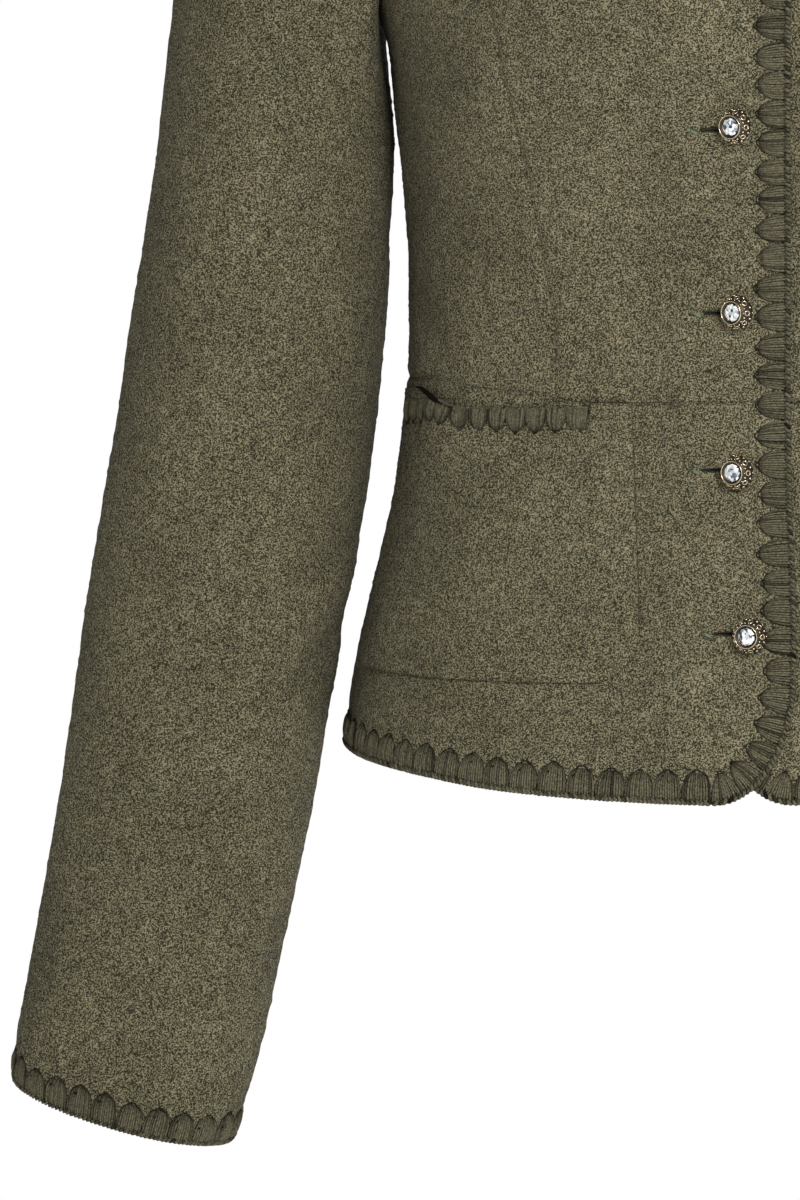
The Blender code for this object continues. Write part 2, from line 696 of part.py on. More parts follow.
def build_peplum(parts):
    for word, side, top, surface in (("right", -1, True, lapped_surface), ("left", 1, False, base_surface)):
        outer, inner = wall_of(surface, peplum_front_places(top))
        add_panel(parts, f"peplum_front_{word}", [(pulled(outer), pulled(inner))], side)
        outer, inner = wall_of(pocket_surface, pocket_places())
        add_panel(parts, f"pocket_{word}", [(pulled(outer), pulled(inner))], side)
    outer, inner = wall_of(base_surface, peplum_back_places())
    add_panel(parts, "peplum_back", [(pulled(outer), pulled(inner))], 1)


def add_panel(parts, name, patches, side):
    patches = [(mirrored(outer, side), mirrored(inner, side)) for outer, inner in patches]
    return new_object(name, shell_mesh(name, patches), WOOL, parts)


def add_band(parts, name, sections, side, closed=False):
    return new_object(name, band_mesh(name, mirrored(sections, side), closed), YARN, parts)


def build_edging(parts):
    for word, side, top, surface in (("right", -1, True, lapped_surface), ("left", 1, False, base_surface)):
        corner_rows = NECK_CORNER_ROWS * FINE
        bodice = front_edge(top, corner_rows)[: EDGE_ROWS + corner_rows + 1]
        peplum = peplum_edge(top, CORNER_ROWS * FINE)
        edge = np.concatenate([peplum[:-1], bodice])
        add_band(parts, f"edging_front_{word}", edging_sections(edge, surface, -1), side)
        pocket = pocket_places()[-1, POCKET_STEP_COLUMN + 1:-2]
        sections = edging_sections(pocket, pocket_surface, -1, POCKET_SHELL_PITCH, POCKET_ROPE_SECTION, 9.0)
        add_band(parts, f"edging_pocket_{word}", sections, side)
        add_band(parts, f"edging_cuff_{word}", cuff_sections(), side, closed=True)
    for name, sign, section, middle, first, last in (
        ("edging_neck", 1, NECK_ROPE_SECTION, back_neck(), front_neck(), front_neck()),
        ("edging_hem", -1, ROPE_SECTION, peplum_back_places()[0], front_hem(True), front_hem(False)),
    ):
        start = np.stack([-first[:, 0], first[:, 1]], axis=1)
        turned = middle.copy()
        turned[:, 0] = middle[:, 0] - 360
        end = last[::-1].copy()
        end[:, 0] = end[:, 0] - 360
        edge = np.concatenate([start[:-1], turned[::-1][:-1], end])
        sections = edging_sections(edge, whole_surface, sign, SHELL_PITCH, section)
        add_band(parts, name, sections, 1)


def whole_surface(angle, height):
    """The body for angles that run from the top front (0) over the back (-180) to the other front."""
    on_top = angle > -90
    folded = np.abs(angle + 180)
    base = base_surface(angle, height)
    lifted = mirrored(lapped_surface(-angle, height), -1)
    return np.where((on_top & (folded > 0))[..., None], lifted, base)


def front_neck():
    return np.array(neckline(np.linspace(0, 90, NECK_FINE_STEPS + 1)))


def back_neck():
    half = np.array(neckline(np.linspace(0, 90, NECK_FINE_STEPS + 1), front=False))
    other = np.stack([360 - half[:, 0], half[:, 1]], axis=1)
    return np.concatenate([half[::-1], other[1:]])


def front_hem(top):
    return peplum_front_places(top)[0]


def build_sleeves(parts):
    outer, inner = sleeve_grids()
    for word, side in (("right", -1), ("left", 1)):
        add_panel(parts, f"sleeve_{word}", [(outer, inner)], side)


def button_mesh(name):
    """The profile of a button as a chain of edges in the XZ plane, from its top centre to its foot."""
    bm = bmesh.new()
    chain = [bm.verts.new((radius * MM, 0, height * MM)) for radius, height in BUTTON_PROFILE]
    for first, last in zip(chain[:-1], chain[1:]):
        bm.edges.new((first, last))
    mesh = bpy.data.meshes.new(name)
    bm.to_mesh(mesh)
    bm.free()
    return mesh


def build_buttons(parts, cutters):
    """Buttons turned about the front's normal, and the buttonholes cut under them."""
    for number, (height, x) in enumerate(BUTTONS, start=1):
        angle = angle_at(np.array(-float(x)), np.array(float(height)))
        seat = mirrored(lapped_surface(angle, np.array(float(height))), -1)
        normal = mirrored(surface_normal(base_surface, angle, np.array(float(height))), -1)
        rise = math.asin(normal[2])
        name = f"button_{number}"
        button = new_object(name, button_mesh(name), METAL, parts, 0.3, 1.0)
        turn = button.modifiers.new("Turn", "SCREW")
        turn.axis = "Z"
        turn.steps = BUTTON_STEPS
        turn.render_steps = BUTTON_STEPS
        turn.use_merge_vertices = True
        turn.merge_threshold = 1e-5
        button.rotation_euler = (math.pi / 2 - rise, 0, 0)
        button.location = to_scene(seat + BUTTON_SEAT * normal)
        panel = bpy.data.objects["front_right" if height > WAIST[0, 1] else "peplum_front_right"]
        cut = bmesh.new()
        bmesh.ops.create_cube(cut, size=1.0)
        length, width, depth = (size * MM for size in BUTTONHOLE)
        bmesh.ops.scale(cut, vec=(length, width, depth), verts=cut.verts[:])
        bmesh.ops.translate(cut, vec=(BUTTONHOLE_SHIFT * MM, 0, 0), verts=cut.verts[:])
        cutter = new_object(f"buttonhole_{number}", finished(cut, f"buttonhole_{number}"), WOOL, cutters)
        cutter.rotation_euler = button.rotation_euler
        cutter.location = to_scene(seat)
        cutter.hide_render = True
        cutter.display_type = "WIRE"
        slit = panel.modifiers.new(cutter.name, "BOOLEAN")
        slit.operation = "DIFFERENCE"
        slit.solver = "EXACT"
        slit.object = cutter


def main():
    for old in list(bpy.data.objects):
        bpy.data.objects.remove(old)
    parts = bpy.data.collections.new(COLLECTION)
    cutters = bpy.data.collections.new(CUTTERS)
    for collection in (parts, cutters):
        bpy.context.scene.collection.children.link(collection)
    build_bodice(parts)
    build_peplum(parts)
    build_sleeves(parts)
    build_edging(parts)
    build_buttons(parts, cutters)


main()
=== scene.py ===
"""Looks of a dirndl jacket: boiled wool panels, crochet edging and domed buttons with a set crystal.

Lengths are in millimetres until a mesh is made. Heights are measured up from the lowest edge of
the front hem, the front faces -Y and the wearer's right is at -X. A side is worked out for +X
first and mirrored. An angle runs round the body from the front centre (0) to the back centre (180).
"""

import logging
import math
from dataclasses import dataclass, field
from enum import Enum
from typing import Callable, Sequence

import bmesh
import bpy
import numpy as np
from mathutils import Matrix, Vector


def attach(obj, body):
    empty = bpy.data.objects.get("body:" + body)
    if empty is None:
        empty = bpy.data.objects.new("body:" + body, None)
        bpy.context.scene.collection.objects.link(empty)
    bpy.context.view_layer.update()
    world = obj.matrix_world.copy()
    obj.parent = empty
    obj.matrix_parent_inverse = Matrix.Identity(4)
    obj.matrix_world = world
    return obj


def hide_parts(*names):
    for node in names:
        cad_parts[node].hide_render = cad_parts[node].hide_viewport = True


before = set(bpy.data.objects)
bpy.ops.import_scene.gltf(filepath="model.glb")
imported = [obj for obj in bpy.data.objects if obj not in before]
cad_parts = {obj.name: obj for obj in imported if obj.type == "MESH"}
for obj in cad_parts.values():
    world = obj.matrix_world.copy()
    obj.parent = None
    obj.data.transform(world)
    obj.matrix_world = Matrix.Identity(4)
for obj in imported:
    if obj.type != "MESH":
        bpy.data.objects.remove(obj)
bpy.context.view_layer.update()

logging.basicConfig(level=logging.INFO, format="%(message)s")
LOG = logging.getLogger("dirndl_jacket")

Grid = np.ndarray
Surface = Callable[[Grid, Grid], Grid]
Tree = bpy.types.NodeTree
Socket = bpy.types.NodeSocket

MM = 0.001
HOLD_HEIGHT = 530.0
WALL = 2.0
WELD = 1e-7
# How far a panel's border is drawn back from its seam
SEAM_PULL = 0.08
# Extra lines beside a border, as shares of a step of the grid
CLOSE_STEPS = np.array([0.2, 0.42, 0.7])
# The row of an armhole at which the long seam meets it
SEAM_ROW = 6
# Distance between the stations of an edge and between its depths, and how deep the strip reaches
RUN_STEP = 0.8
RUN_DEPTH = 16.0
# Rings of a sleeve under the strip round its cuff, and the shells on it
CUFF_RINGS = 11
CUFF_SHELLS = 24

BODY = np.array([
    (-10, 173.0, 130, 126), (0, 171.0, 128, 124), (40, 168.5, 124, 120), (89, 159.0, 114, 112),
    (140, 147.0, 104, 100), (173, 143.5, 100, 94), (205, 142.0, 97, 90), (235, 142.5, 99, 90),
    (265, 144.5, 106, 94), (300, 148.0, 117, 100), (325, 151.0, 122, 104), (347, 157.0, 122, 107),
    (380, 163.0, 116, 110), (420, 172.0, 106, 110), (465, 182.0, 88, 102), (506, 188.0, 62, 80),
    (530, 130.0, 42, 52), (545, 95.0, 26, 31), (552, 78.0, 18, 20),
])
WAIST = np.array([(0, 175), (22, 175), (34, 178.5), (47, 181), (58, 183.4), (90, 185), (180, 181)])
HEM = np.array([(0, 11.6), (17, 13.8), (33, 16.8), (49, 21.5), (66, 25.8), (90, 30.5), (135, 22), (180, 16)])
REACH = np.array([
    (62, 20.1, 8.5), (73, 20.1, 8.8), (106, 19.4, 12.4), (140, 18.0, 16.4), (175, 17.6, 17.6),
    (470, 17.6, 17.6),
])
FRONT_SEAM = np.array([
    (170, 77.5), (202, 77), (221, 80), (259, 87), (280, 91.5), (305, 98), (342, 105.5), (380, 120),
    (405, 138), (420, 152.6),
])
BACK_SEAM = np.array([(175, 58), (220, 58), (280, 68), (340, 88), (380, 118), (400, 139), (412, 157)])
ARMHOLE_FRONT = (
    (90, 347), (80, 348.5), (71.5, 354), (66, 365), (62.8, 380), (61, 399), (60.7, 420), (62, 439), (65, 457),
    (69.5, 473), (75.5, 487), (82.5, 498.5), (90, 506),
)
ARMHOLE_BACK = (
    (90, 347), (100, 348.5), (107.5, 354.5), (112, 366), (114, 381), (114.5, 397), (114, 412), (112.5, 432),
    (110, 451), (106.5, 469), (102, 484), (96.5, 496.5), (90, 506),
)
POCKET_LINE = np.array([(0, 41.0), (59, 41.4), (82, 41.4), (120, 42.5), (175, 44.9)])
POCKET_BOTTOM = np.array([(15, 58.4), (40, 58.8), (65, 61), (90, 65)])
SLEEVE = np.array([
    (282, 200.0, 102.0, 0, 112, 0), (243, 204.0, 106.0, 0, 113, 0), (205, 208.0, 110.5, -1, 112, 0),
    (166, 212.6, 112.0, -3, 109, 0), (127, 218.4, 113.5, -5, 105, 0), (89, 224.8, 112.6, -8, 100, 0),
    (50, 230.7, 110.8, -12, 94, 0), (11, 236.3, 110.0, -17, 89, 0), (-26, 242.9, 108.5, -22, 84, 0),
    (-64, 250.0, 107.0, -28, 79, 0), (-98, 256.8, 103.5, -33, 75, 0.45), (-124, 262.6, 94.5, -37, 69, 1),
])
# Buttons: height, distance across, lean to the side and nod upwards in degrees, head's rise above its seat
BUTTONS = (
    (438, -2.5, 29, 4, 0.5), (364, -2.5, 31, 8, 1.2), (289.5, -2.5, 31, 12, 2.4), (212.6, -0.8, 34, -3, 0.7),
    (146.5, -1.2, 27, -11, -0.8), (78.7, 3.7, 19, -16, -0.9),
)

# Creases of the body: angle, height, half length, half width, depth, slant from upright in degrees
BODY_CREASES = (
    (23.2, 165, 9, 1.6, 2.6, 2), (52, 232, 42, 9, 1.1, 62), (60, 256, 38, 8, 0.8, 70),
    (70, 214, 40, 9, 1.0, 50), (38, 330, 45, 13, 0.9, 20), (76, 300, 36, 10, 0.9, 35),
    (30, 130, 60, 16, 0.9, 8), (74, 110, 70, 15, 1.2, -6), (84, 70, 60, 14, 1.1, 5),
    (118, 240, 48, 10, 1.2, 58), (132, 216, 44, 9, 1.0, 66), (150, 300, 60, 14, 1.0, -24),
    (112, 120, 70, 16, 1.2, 6), (141, 90, 75, 18, 1.3, -4), (166, 110, 70, 17, 1.0, 3),
    (128, 380, 46, 12, 1.2, -30),
)
# Creases of a sleeve: turn from the outer side towards the front, then as above
SLEEVE_CREASES = (
    (120, 262, 34, 9, 1.5, 58), (150, 236, 30, 8, 1.2, 64), (70, 118, 62, 12, 1.3, 16),
    (128, 92, 48, 9, 1.6, 48), (152, 66, 42, 9, 1.4, 56), (96, 30, 70, 12, 1.2, 12),
    (60, -30, 66, 13, 1.1, -10), (118, -60, 52, 10, 1.1, 20), (230, 110, 60, 12, 1.3, -34),
    (255, 40, 66, 13, 1.2, 18), (210, -20, 60, 11, 1.2, -16), (300, 180, 70, 14, 1.1, 10),
    (330, 30, 80, 15, 1.0, -8), (240, 250, 36, 9, 1.4, -55),
)
# Path of the dark strand that paints the shadow round a shell: place across it, place from the rope (0) to
# the tip (1), radius
SHADOW_OUTLINE = np.array([
    (-1, 0.5, 0.0), (-1, 0.66, 0.12), (-1, 0.82, 0.2), (-1, 0.94, 0.28), (-0.8, 1.0, 0.34),
    (-0.3, 1.02, 0.36), (0.3, 1.02, 0.36), (0.8, 1.0, 0.34), (1, 0.94, 0.28), (1, 0.82, 0.2),
    (1, 0.66, 0.12), (1, 0.5, 0.0),
])


class Side(Enum):
    """A side of the jacket, with the sign of its X."""

    RIGHT = -1
    LEFT = 1

    @property
    def word(self) -> str:
        """The side's word in a piece's name."""
        return self.name.lower()

    @property
    def on_top(self) -> bool:
        """Whether this front laps over the other one."""
        return self is Side.RIGHT


class Slot(Enum):
    """Material slots of the record."""

    WOOL = "boiled_wool"
    YARN = "crochet_yarn"
    METAL = "antique_metal"


def smooth(table: Grid, at: Grid, column: int = 1) -> Grid:
    """Reads one column of a table by a cubic that never overshoots its rows.

    Args:
        table: Rows with the place in column 0.
        at: The places to read.
        column: The column to read.

    Returns:
        The values at those places.
    """
    knots, values = table[:, 0].astype(float), table[:, column].astype(float)
    steps = np.diff(knots)
    slopes = np.diff(values) / steps
    tangents = np.concatenate([slopes[:1], np.zeros(len(slopes) - 1), slopes[-1:]])
    before, after = slopes[:-1], slopes[1:]
    same_way = before * after > 0
    total = np.where(same_way, before + after, 1.0)
    tangents[1:-1] = np.where(same_way, 2 * before * after / total, 0.0)
    at = np.clip(np.asarray(at, float), knots[0], knots[-1])
    row = np.clip(np.searchsorted(knots, at, side="right") - 1, 0, len(steps) - 1)
    part = (at - knots[row]) / steps[row]
    start = (1 + 2 * part) * (1 - part) ** 2 * values[row]
    end = part**2 * (3 - 2 * part) * values[row + 1]
    leave = part * (1 - part) ** 2 * steps[row] * tangents[row]
    arrive = part**2 * (part - 1) * steps[row] * tangents[row + 1]
    return start + end + leave + arrive


def ease(value: Grid) -> Grid:
    """Turns 0 to 1 into a soft start and end."""
    value = np.clip(value, 0, 1)
    return value * value * (3 - 2 * value)


def unit(vectors: Grid) -> Grid:
    """Scales vectors to length 1."""
    return vectors / np.maximum(np.linalg.norm(vectors, axis=-1, keepdims=True), 1e-12)


def normals_of(surface: Surface, angle: Grid, height: Grid) -> Grid:
    """Unit normals out of a surface, from its slopes along both of its directions.

    Args:
        surface: The surface.
        angle: Angles round the body, in degrees.
        height: Heights.

    Returns:
        The normals.
    """
    round_body = surface(angle + 0.05, height) - surface(angle - 0.05, height)
    upwards = surface(angle, height + 0.2) - surface(angle, height - 0.2)
    return unit(np.cross(round_body, upwards))


def graded(steps: int, parts: int) -> Grid:
    """Fractions of grid steps, closer together beside both borders, so that a seam can dip there.

    Args:
        steps: How many steps the grid has.
        parts: Even parts of a step.

    Returns:
        The fractional steps.
    """
    even = np.linspace(0, steps, steps * parts + 1)
    close = CLOSE_STEPS / parts
    return np.sort(np.concatenate([even, close, steps - close]))


def refined(places: Grid, rows: Grid, columns: Grid) -> Grid:
    """Reads a grid of places at fractional rows and columns.

    Args:
        places: Angle and height by row and column.
        rows: The rows to read.
        columns: The columns to read.

    Returns:
        The finer grid.
    """
    for axis, at in ((0, rows), (1, columns)):
        low = np.minimum(at.astype(int), places.shape[axis] - 2)
        part = (at - low).reshape((-1, 1, 1) if axis == 0 else (1, -1, 1))
        first, second = np.take(places, low, axis), np.take(places, low + 1, axis)
        places = first * (1 - part) + second * part
    return places


def creased(creases: Sequence[tuple], around: Grid, height: Grid, round_scale: Grid) -> Grid:
    """Depth of the soft troughs and of the ridges beside them.

    Args:
        creases: Rows of place, height, half length, half width, depth and slant.
        around: The angle of each point, in degrees.
        height: The height of each point.
        round_scale: Millimetres of cloth to a degree.

    Returns:
        The rise of the cloth, below zero in a trough.
    """
    rise = np.zeros(np.broadcast(around, height).shape)
    for place, level, long_way, across, depth, slant in creases:
        turn = math.radians(slant)
        side = (around - place) * round_scale
        up = height - level
        along = up * math.cos(turn) + side * math.sin(turn)
        over = side * math.cos(turn) - up * math.sin(turn)
        bend = over - 0.0035 * along**2
        reach = np.exp(-((along / long_way) ** 2))
        rise -= depth * reach * np.exp(-((bend / across) ** 2))
        rise += 0.55 * depth * reach * np.exp(-(((bend - 1.9 * across) / (1.2 * across)) ** 2))
    return rise


@dataclass(frozen=True)
class BodyForm:
    """The filled form that the cloth follows."""

    roundness: float = 2.3
    bust_rise: float = 12.0
    bust_across: float = 88.0
    bust_height: float = 318.0
    bust_spread: float = 55.0
    corner_top: float = 62.0
    corner_width: float = 31.4
    neck_half_width: float = 78.0
    neck_top: float = 552.0
    neck_drop_front: float = 87.0
    neck_drop_back: float = 17.0
    neck_corner_height: float = 450.0
    lap_lift: float = 5.0
    lap_full: float = 23.5
    lap_end: float = 42.0
    bodice_rows: int = 12
    edge_rows: int = 10
    edge_mark: float = 3.0
    lap_middle: float = 32.0
    seam_angle_front: float = 35.0
    seam_angle_back: float = 155.0
    neck_turns: tuple = (0, 17.5, 32.6, 49, 65, 78, 90)
    neck_parts: int = 4
    pocket_gap: float = 0.4
    pocket_gape: float = 3.0
    gape_middle: float = 0.57
    gape_width: float = 0.11
    gape_reach: float = 30.0
    side_thinning: float = 0.85
    thinning_start: float = 0.75
    shell_rise: float = 3.0
    shell_end: float = 0.83
    pocket_open_top: float = 170.5
    pocket_sewn_top: float = 174.4
    pocket_corner: float = 22.0
    step_share: float = 0.095
    pocket_rise: float = 9.5
    rise_start: float = 0.47
    rise_end: float = 0.70

    def half_width(self, height: Grid) -> Grid:
        """Half of the body's width at a height."""
        return smooth(BODY, height, 1)

    def angle_at(self, across: Grid, height: Grid) -> Grid:
        """The angle round the front at a distance across."""
        share = np.clip(np.abs(across) / self.half_width(height), 0, 1)
        return np.sign(across) * np.degrees(np.arcsin(share ** (self.roundness / 2)))

    def base(self, angle: Grid, height: Grid) -> Grid:
        """Points of the body without the lap, for the side at +X.

        Args:
            angle: Angles round the body, in degrees.
            height: Heights.

        Returns:
            The points, in millimetres.
        """
        turn = np.radians(angle)
        sine, cosine = np.sin(turn), np.cos(turn)
        across = self.half_width(height) * np.sign(sine) * np.abs(sine) ** (2 / self.roundness)
        reach = np.sign(cosine) * np.abs(cosine) ** (2 / self.roundness)
        depth = np.where(cosine > 0, smooth(BODY, height, 2), smooth(BODY, height, 3))
        side = (np.abs(across) - self.bust_across) / self.bust_spread
        up = (height - self.bust_height) / self.bust_spread
        swell = self.bust_rise * np.exp(-(side**2) - up**2) * ease(np.abs(cosine) * 2)
        bust = np.where(cosine > 0, swell, 0)
        return np.stack([across, -depth * reach - bust, height + 0 * across], axis=-1)

    def lapped(self, angle: Grid, height: Grid) -> Grid:
        """The body where the top front is lifted over the under front.

        Args:
            angle: Angles round the body, in degrees.
            height: Heights.

        Returns:
            The points, in millimetres.
        """
        points = self.base(angle, height)
        share = np.clip((self.lap_end - points[..., 0]) / (self.lap_end - self.lap_full), 0, 1)
        lift = self.lap_lift * np.where(np.abs(angle) < 90, share, 0)
        return points + lift[..., None] * normals_of(self.base, angle, height)

    def whole(self, angle: Grid, height: Grid) -> Grid:
        """The body for angles from the top front (0) over the back (-180) to the other front.

        Args:
            angle: Angles round the body, in degrees.
            height: Heights.

        Returns:
            The points, in millimetres.
        """
        folded = np.abs(angle + 180)
        lifted = self.lapped(-angle, height) * np.array([-1.0, 1.0, 1.0])
        return np.where(((angle > -90) & (folded > 0))[..., None], lifted, self.base(angle, height))

    def pocket(self, angle: Grid, height: Grid) -> Grid:
        """Outer face of the pocket, which stands away from the peplum where its opening gapes.

        Args:
            angle: Angles round the body, in degrees.
            height: Heights.

        Returns:
            The points, in millimetres.
        """
        line = self.angle_at(smooth(POCKET_LINE, height), height)
        share = (angle - line) / (90 - line)
        down = np.clip((self.pocket_open_top - height) / self.gape_reach, 0, 1)
        bulge = np.exp(-(((share - self.gape_middle) / self.gape_width) ** 2))
        gape = self.pocket_gape * bulge * (1 - ease(down))
        thinning = ease((share - self.thinning_start) / (1 - self.thinning_start))
        rise = (self.pocket_gap + WALL) * (1 - self.side_thinning * thinning) + gape
        return self.base(angle, height) + rise[..., None] * normals_of(self.base, angle, height)

    def reach(self, height: Grid, top: bool) -> Grid:
        """How far a front reaches past the centre line."""
        return smooth(REACH, height, 1 if top else 2)

    def neck_place(self, across: float, front: bool = True) -> tuple:
        """Angle and height of the neckline at a distance across.

        Args:
            across: Distance from the centre line.
            front: Whether it is the front's neckline.

        Returns:
            The angle and the height.
        """
        drop = self.neck_drop_front if front else self.neck_drop_back
        height = self.neck_top - drop * math.sqrt(max(0.0, 1 - (across / self.neck_half_width) ** 2))
        angle = float(self.angle_at(across, height))
        return (angle, height) if front else (180 - angle, height)

    def fine_turns(self) -> list:
        """Turns along half of the neckline, from beside its middle to the shoulder."""
        steps = np.arange(1, (len(self.neck_turns) - 1) * self.neck_parts + 1) / self.neck_parts
        return np.interp(steps, np.arange(len(self.neck_turns)), self.neck_turns).tolist()

    def fine_armhole(self, armhole: Sequence[tuple]) -> list:
        """The armhole above its middle, in as many rows as the neckline has turns.

        Args:
            armhole: The armhole's angles and heights.

        Returns:
            Angle and height of each row.
        """
        table = np.array(armhole[SEAM_ROW:], float)
        steps = np.arange(1, (len(table) - 1) * self.neck_parts + 1) / self.neck_parts
        return [tuple(np.interp(step, np.arange(len(table)), table[:, c]) for c in (0, 1)) for step in steps]

    def row_steps(self, parts: int) -> Grid:
        """Fractional rows of a panel that reaches the neckline, closer together beside both borders.

        Args:
            parts: Even parts of a row below the neckline.

        Returns:
            The fractional rows.
        """
        fine = len(self.fine_turns())
        last = self.bodice_rows + fine
        low = np.linspace(0, self.bodice_rows, self.bodice_rows * parts + 1)
        high = np.linspace(self.bodice_rows, last, 2 * fine + 1)[1:]
        close = CLOSE_STEPS / parts
        return np.sort(np.concatenate([low, high, close, last - close * self.neck_parts]))

    def neckline(self, turns: Sequence[float], front: bool = True) -> list:
        """Half of the neckline at turns from its middle (0) to the shoulder (90)."""
        return [self.neck_place(self.neck_half_width * math.sin(math.radians(t)), front) for t in turns]

    def front_edge(self, top: bool, corner_rows: int = 3, turns: Sequence[float] = ()) -> Grid:
        """A bodice front's inner edge from the waist to the neck corner and along the neckline.

        Args:
            top: Whether this front is the top one.
            corner_rows: Rows round the corner at the neck.
            turns: Turns along the neckline.

        Returns:
            Angles and heights.
        """
        places = []
        for height in np.linspace(WAIST[0, 1], self.neck_corner_height, self.edge_rows):
            places.append((float(self.angle_at(-self.reach(height, top), height)), height))
        reach = float(self.reach(self.neck_corner_height, top))
        corner, centre = self.neck_place(-reach)[1], self.neck_place(0)[1]
        for part in np.linspace(0, 1, corner_rows + 1)[1:]:
            across = -reach * (1 - part**2)
            rest = 1 - part
            height = rest**2 * self.neck_corner_height + 2 * part * rest * corner + part**2 * centre
            places.append((float(self.angle_at(across, height)), height))
        return np.array(places + self.neckline(turns))

    def long_seam(self, table: Grid, back: bool, armhole: Sequence[tuple]) -> Grid:
        """A long seam from the waist to the armhole, then the armhole on to the shoulder tip.

        Args:
            table: The seam's heights and distances across.
            back: Whether it is a seam of the back.
            armhole: The armhole's angles and heights.

        Returns:
            Angles and heights.
        """
        top = armhole[SEAM_ROW][1]
        bottom = float(smooth(WAIST, self.seam_angle_back if back else self.seam_angle_front))
        places = []
        for height in np.linspace(bottom, top, self.bodice_rows + 1):
            angle = float(self.angle_at(smooth(table, height), height))
            places.append((180 - angle if back else angle, height))
        places[-1] = armhole[SEAM_ROW]
        return np.array(places + self.fine_armhole(armhole))

    def back_centre(self) -> Grid:
        """The back's centre line, then its half of the neckline.

        Returns:
            Angles and heights.
        """
        low, top = float(smooth(WAIST, 180)), self.neck_top - self.neck_drop_back
        places = [(180.0, height) for height in np.linspace(low, top, self.bodice_rows + 1)]
        return np.array(places + self.neckline(self.fine_turns(), front=False))

    def between(self, inner: Grid, outer: Grid, shares: Grid) -> Grid:
        """Rows of places between two edges that have as many rows, with the first row on the waist.

        Args:
            inner: The edge at the first column.
            outer: The edge at the last column.
            shares: Where the columns lie between them.

        Returns:
            Angle and height by row and column.
        """
        share = np.atleast_2d(np.asarray(shares, float))[:, :, None]
        places = inner[:, None, :] * (1 - share) + outer[:, None, :] * share
        error = smooth(WAIST, places[0, :, 0]) - places[0, :, 1]
        for row, part in enumerate((1.0, 0.75, 0.5, 0.25)):
            places[row, :, 1] += part * error
        return places

    def front_shares(self, inner: Grid, outer: Grid) -> Grid:
        """Where the columns of a front cross each row.

        Args:
            inner: The front's inner edge.
            outer: Its long seam.

        Returns:
            Shares of the width by row and column.
        """
        rows = []
        for (start, low), (end, high) in zip(inner[: self.bodice_rows + 1], outer):
            marks = [0.0]
            for across in (self.edge_mark, self.lap_full, self.lap_middle, self.lap_end):
                rough = (float(self.angle_at(across, low)) - start) / (end - start)
                level = low + (high - low) * rough
                marks.append((float(self.angle_at(across, level)) - start) / (end - start))
            rows.append(marks + list(np.linspace(marks[-1], 1, 6)[1:]))
        return np.array(rows + [rows[-1]] * len(self.fine_turns()))

    def side_panel(self, seam: Grid, armhole: Sequence[tuple]) -> Grid:
        """A side panel between its long seam and the side seam, under the armhole.

        Args:
            seam: The long seam.
            armhole: The armhole's angles and heights.

        Returns:
            Angle and height by row and column.
        """
        heights = np.linspace(float(smooth(WAIST, 90)), armhole[0][1], self.bodice_rows + 1)
        side = np.stack([np.full(len(heights), 90.0), heights], axis=1)
        places = self.between(seam[: self.bodice_rows + 1], side, np.linspace(0, 1, 7))
        rise = np.array(armhole[SEAM_ROW::-1]) - places[-1]
        for row in range(self.bodice_rows + 1):
            places[row] += rise * (row / self.bodice_rows) ** 3
        return places

    def peplum_height(self, angle: Grid, share: Grid) -> Grid:
        """Height on the peplum at a share of the way from its hem to the waist."""
        hem = smooth(HEM, angle)
        return hem + (smooth(WAIST, angle) - hem) * share

    def peplum_rows(self, top: bool, corner_rows: int, straight_rows: int) -> list:
        """Shares of the peplum's height with the reach of its front edge at each, from the hem up.

        Args:
            top: Whether this front is the top one.
            corner_rows: Rows round the lower corner.
            straight_rows: Rows above it.

        Returns:
            Pairs of share and distance across.
        """
        hem, waist = HEM[0, 1], WAIST[0, 1]
        rows = []
        for height in np.linspace(waist, self.corner_top, straight_rows):
            rows.append(((height - hem) / (waist - hem), -float(self.reach(height, top))))
        reach = float(self.reach(self.corner_top, top))
        for turn in np.linspace(0, math.pi / 2, corner_rows + 1)[1:]:
            height = self.corner_top - (self.corner_top - hem) * math.sin(turn)
            rows.append(((height - hem) / (waist - hem), self.corner_width * (1 - math.cos(turn)) - reach))
        return rows[::-1]

    def peplum_edge(self, top: bool, corner_rows: int) -> Grid:
        """A peplum front's inner edge from its hem to the waist.

        Args:
            top: Whether this front is the top one.
            corner_rows: Rows round the lower corner.

        Returns:
            Angles and heights.
        """
        places = []
        for share, across in self.peplum_rows(top, corner_rows, 6):
            angle = float(self.angle_at(across, float(self.peplum_height(0.0, share))))
            places.append((angle, float(self.peplum_height(angle, share))))
        return np.array(places)

    def peplum_front(self, top: bool) -> Grid:
        """The peplum front, with its rounded lower corner.

        Args:
            top: Whether this front is the top one.

        Returns:
            Angle and height by row and column.
        """
        rows = []
        for share, across in self.peplum_rows(top, 20, 40):
            rough = float(self.peplum_height(0.0, share))
            edge = float(self.angle_at(across, rough))
            line = float(self.angle_at(smooth(POCKET_LINE, rough), rough))
            inner = edge + (line - edge) * np.linspace(0, 1, 25)[:-1]
            shares = np.sort(np.concatenate([np.linspace(0, 1, 51), 1 - CLOSE_STEPS / 50]))
            outer = line + (90 - line) * shares
            angles = np.concatenate([inner, outer])
            rows.append(np.stack([angles, self.peplum_height(angles, share)], axis=1))
        return np.array(rows)

    def peplum_back(self) -> Grid:
        """The peplum back, from one side seam over the back centre to the other.

        Returns:
            Angle and height by row and column.
        """
        angles = 90 + graded(20, 7) * 9
        folded = 180 - np.abs(angles - 180)
        shares = graded(6, 9) / 6
        return np.array([np.stack([angles, self.peplum_height(folded, s)], axis=1) for s in shares])

    def pocket_columns(self) -> Grid:
        """Shares of the pocket's width at its columns."""
        return graded(20, 6) / 20

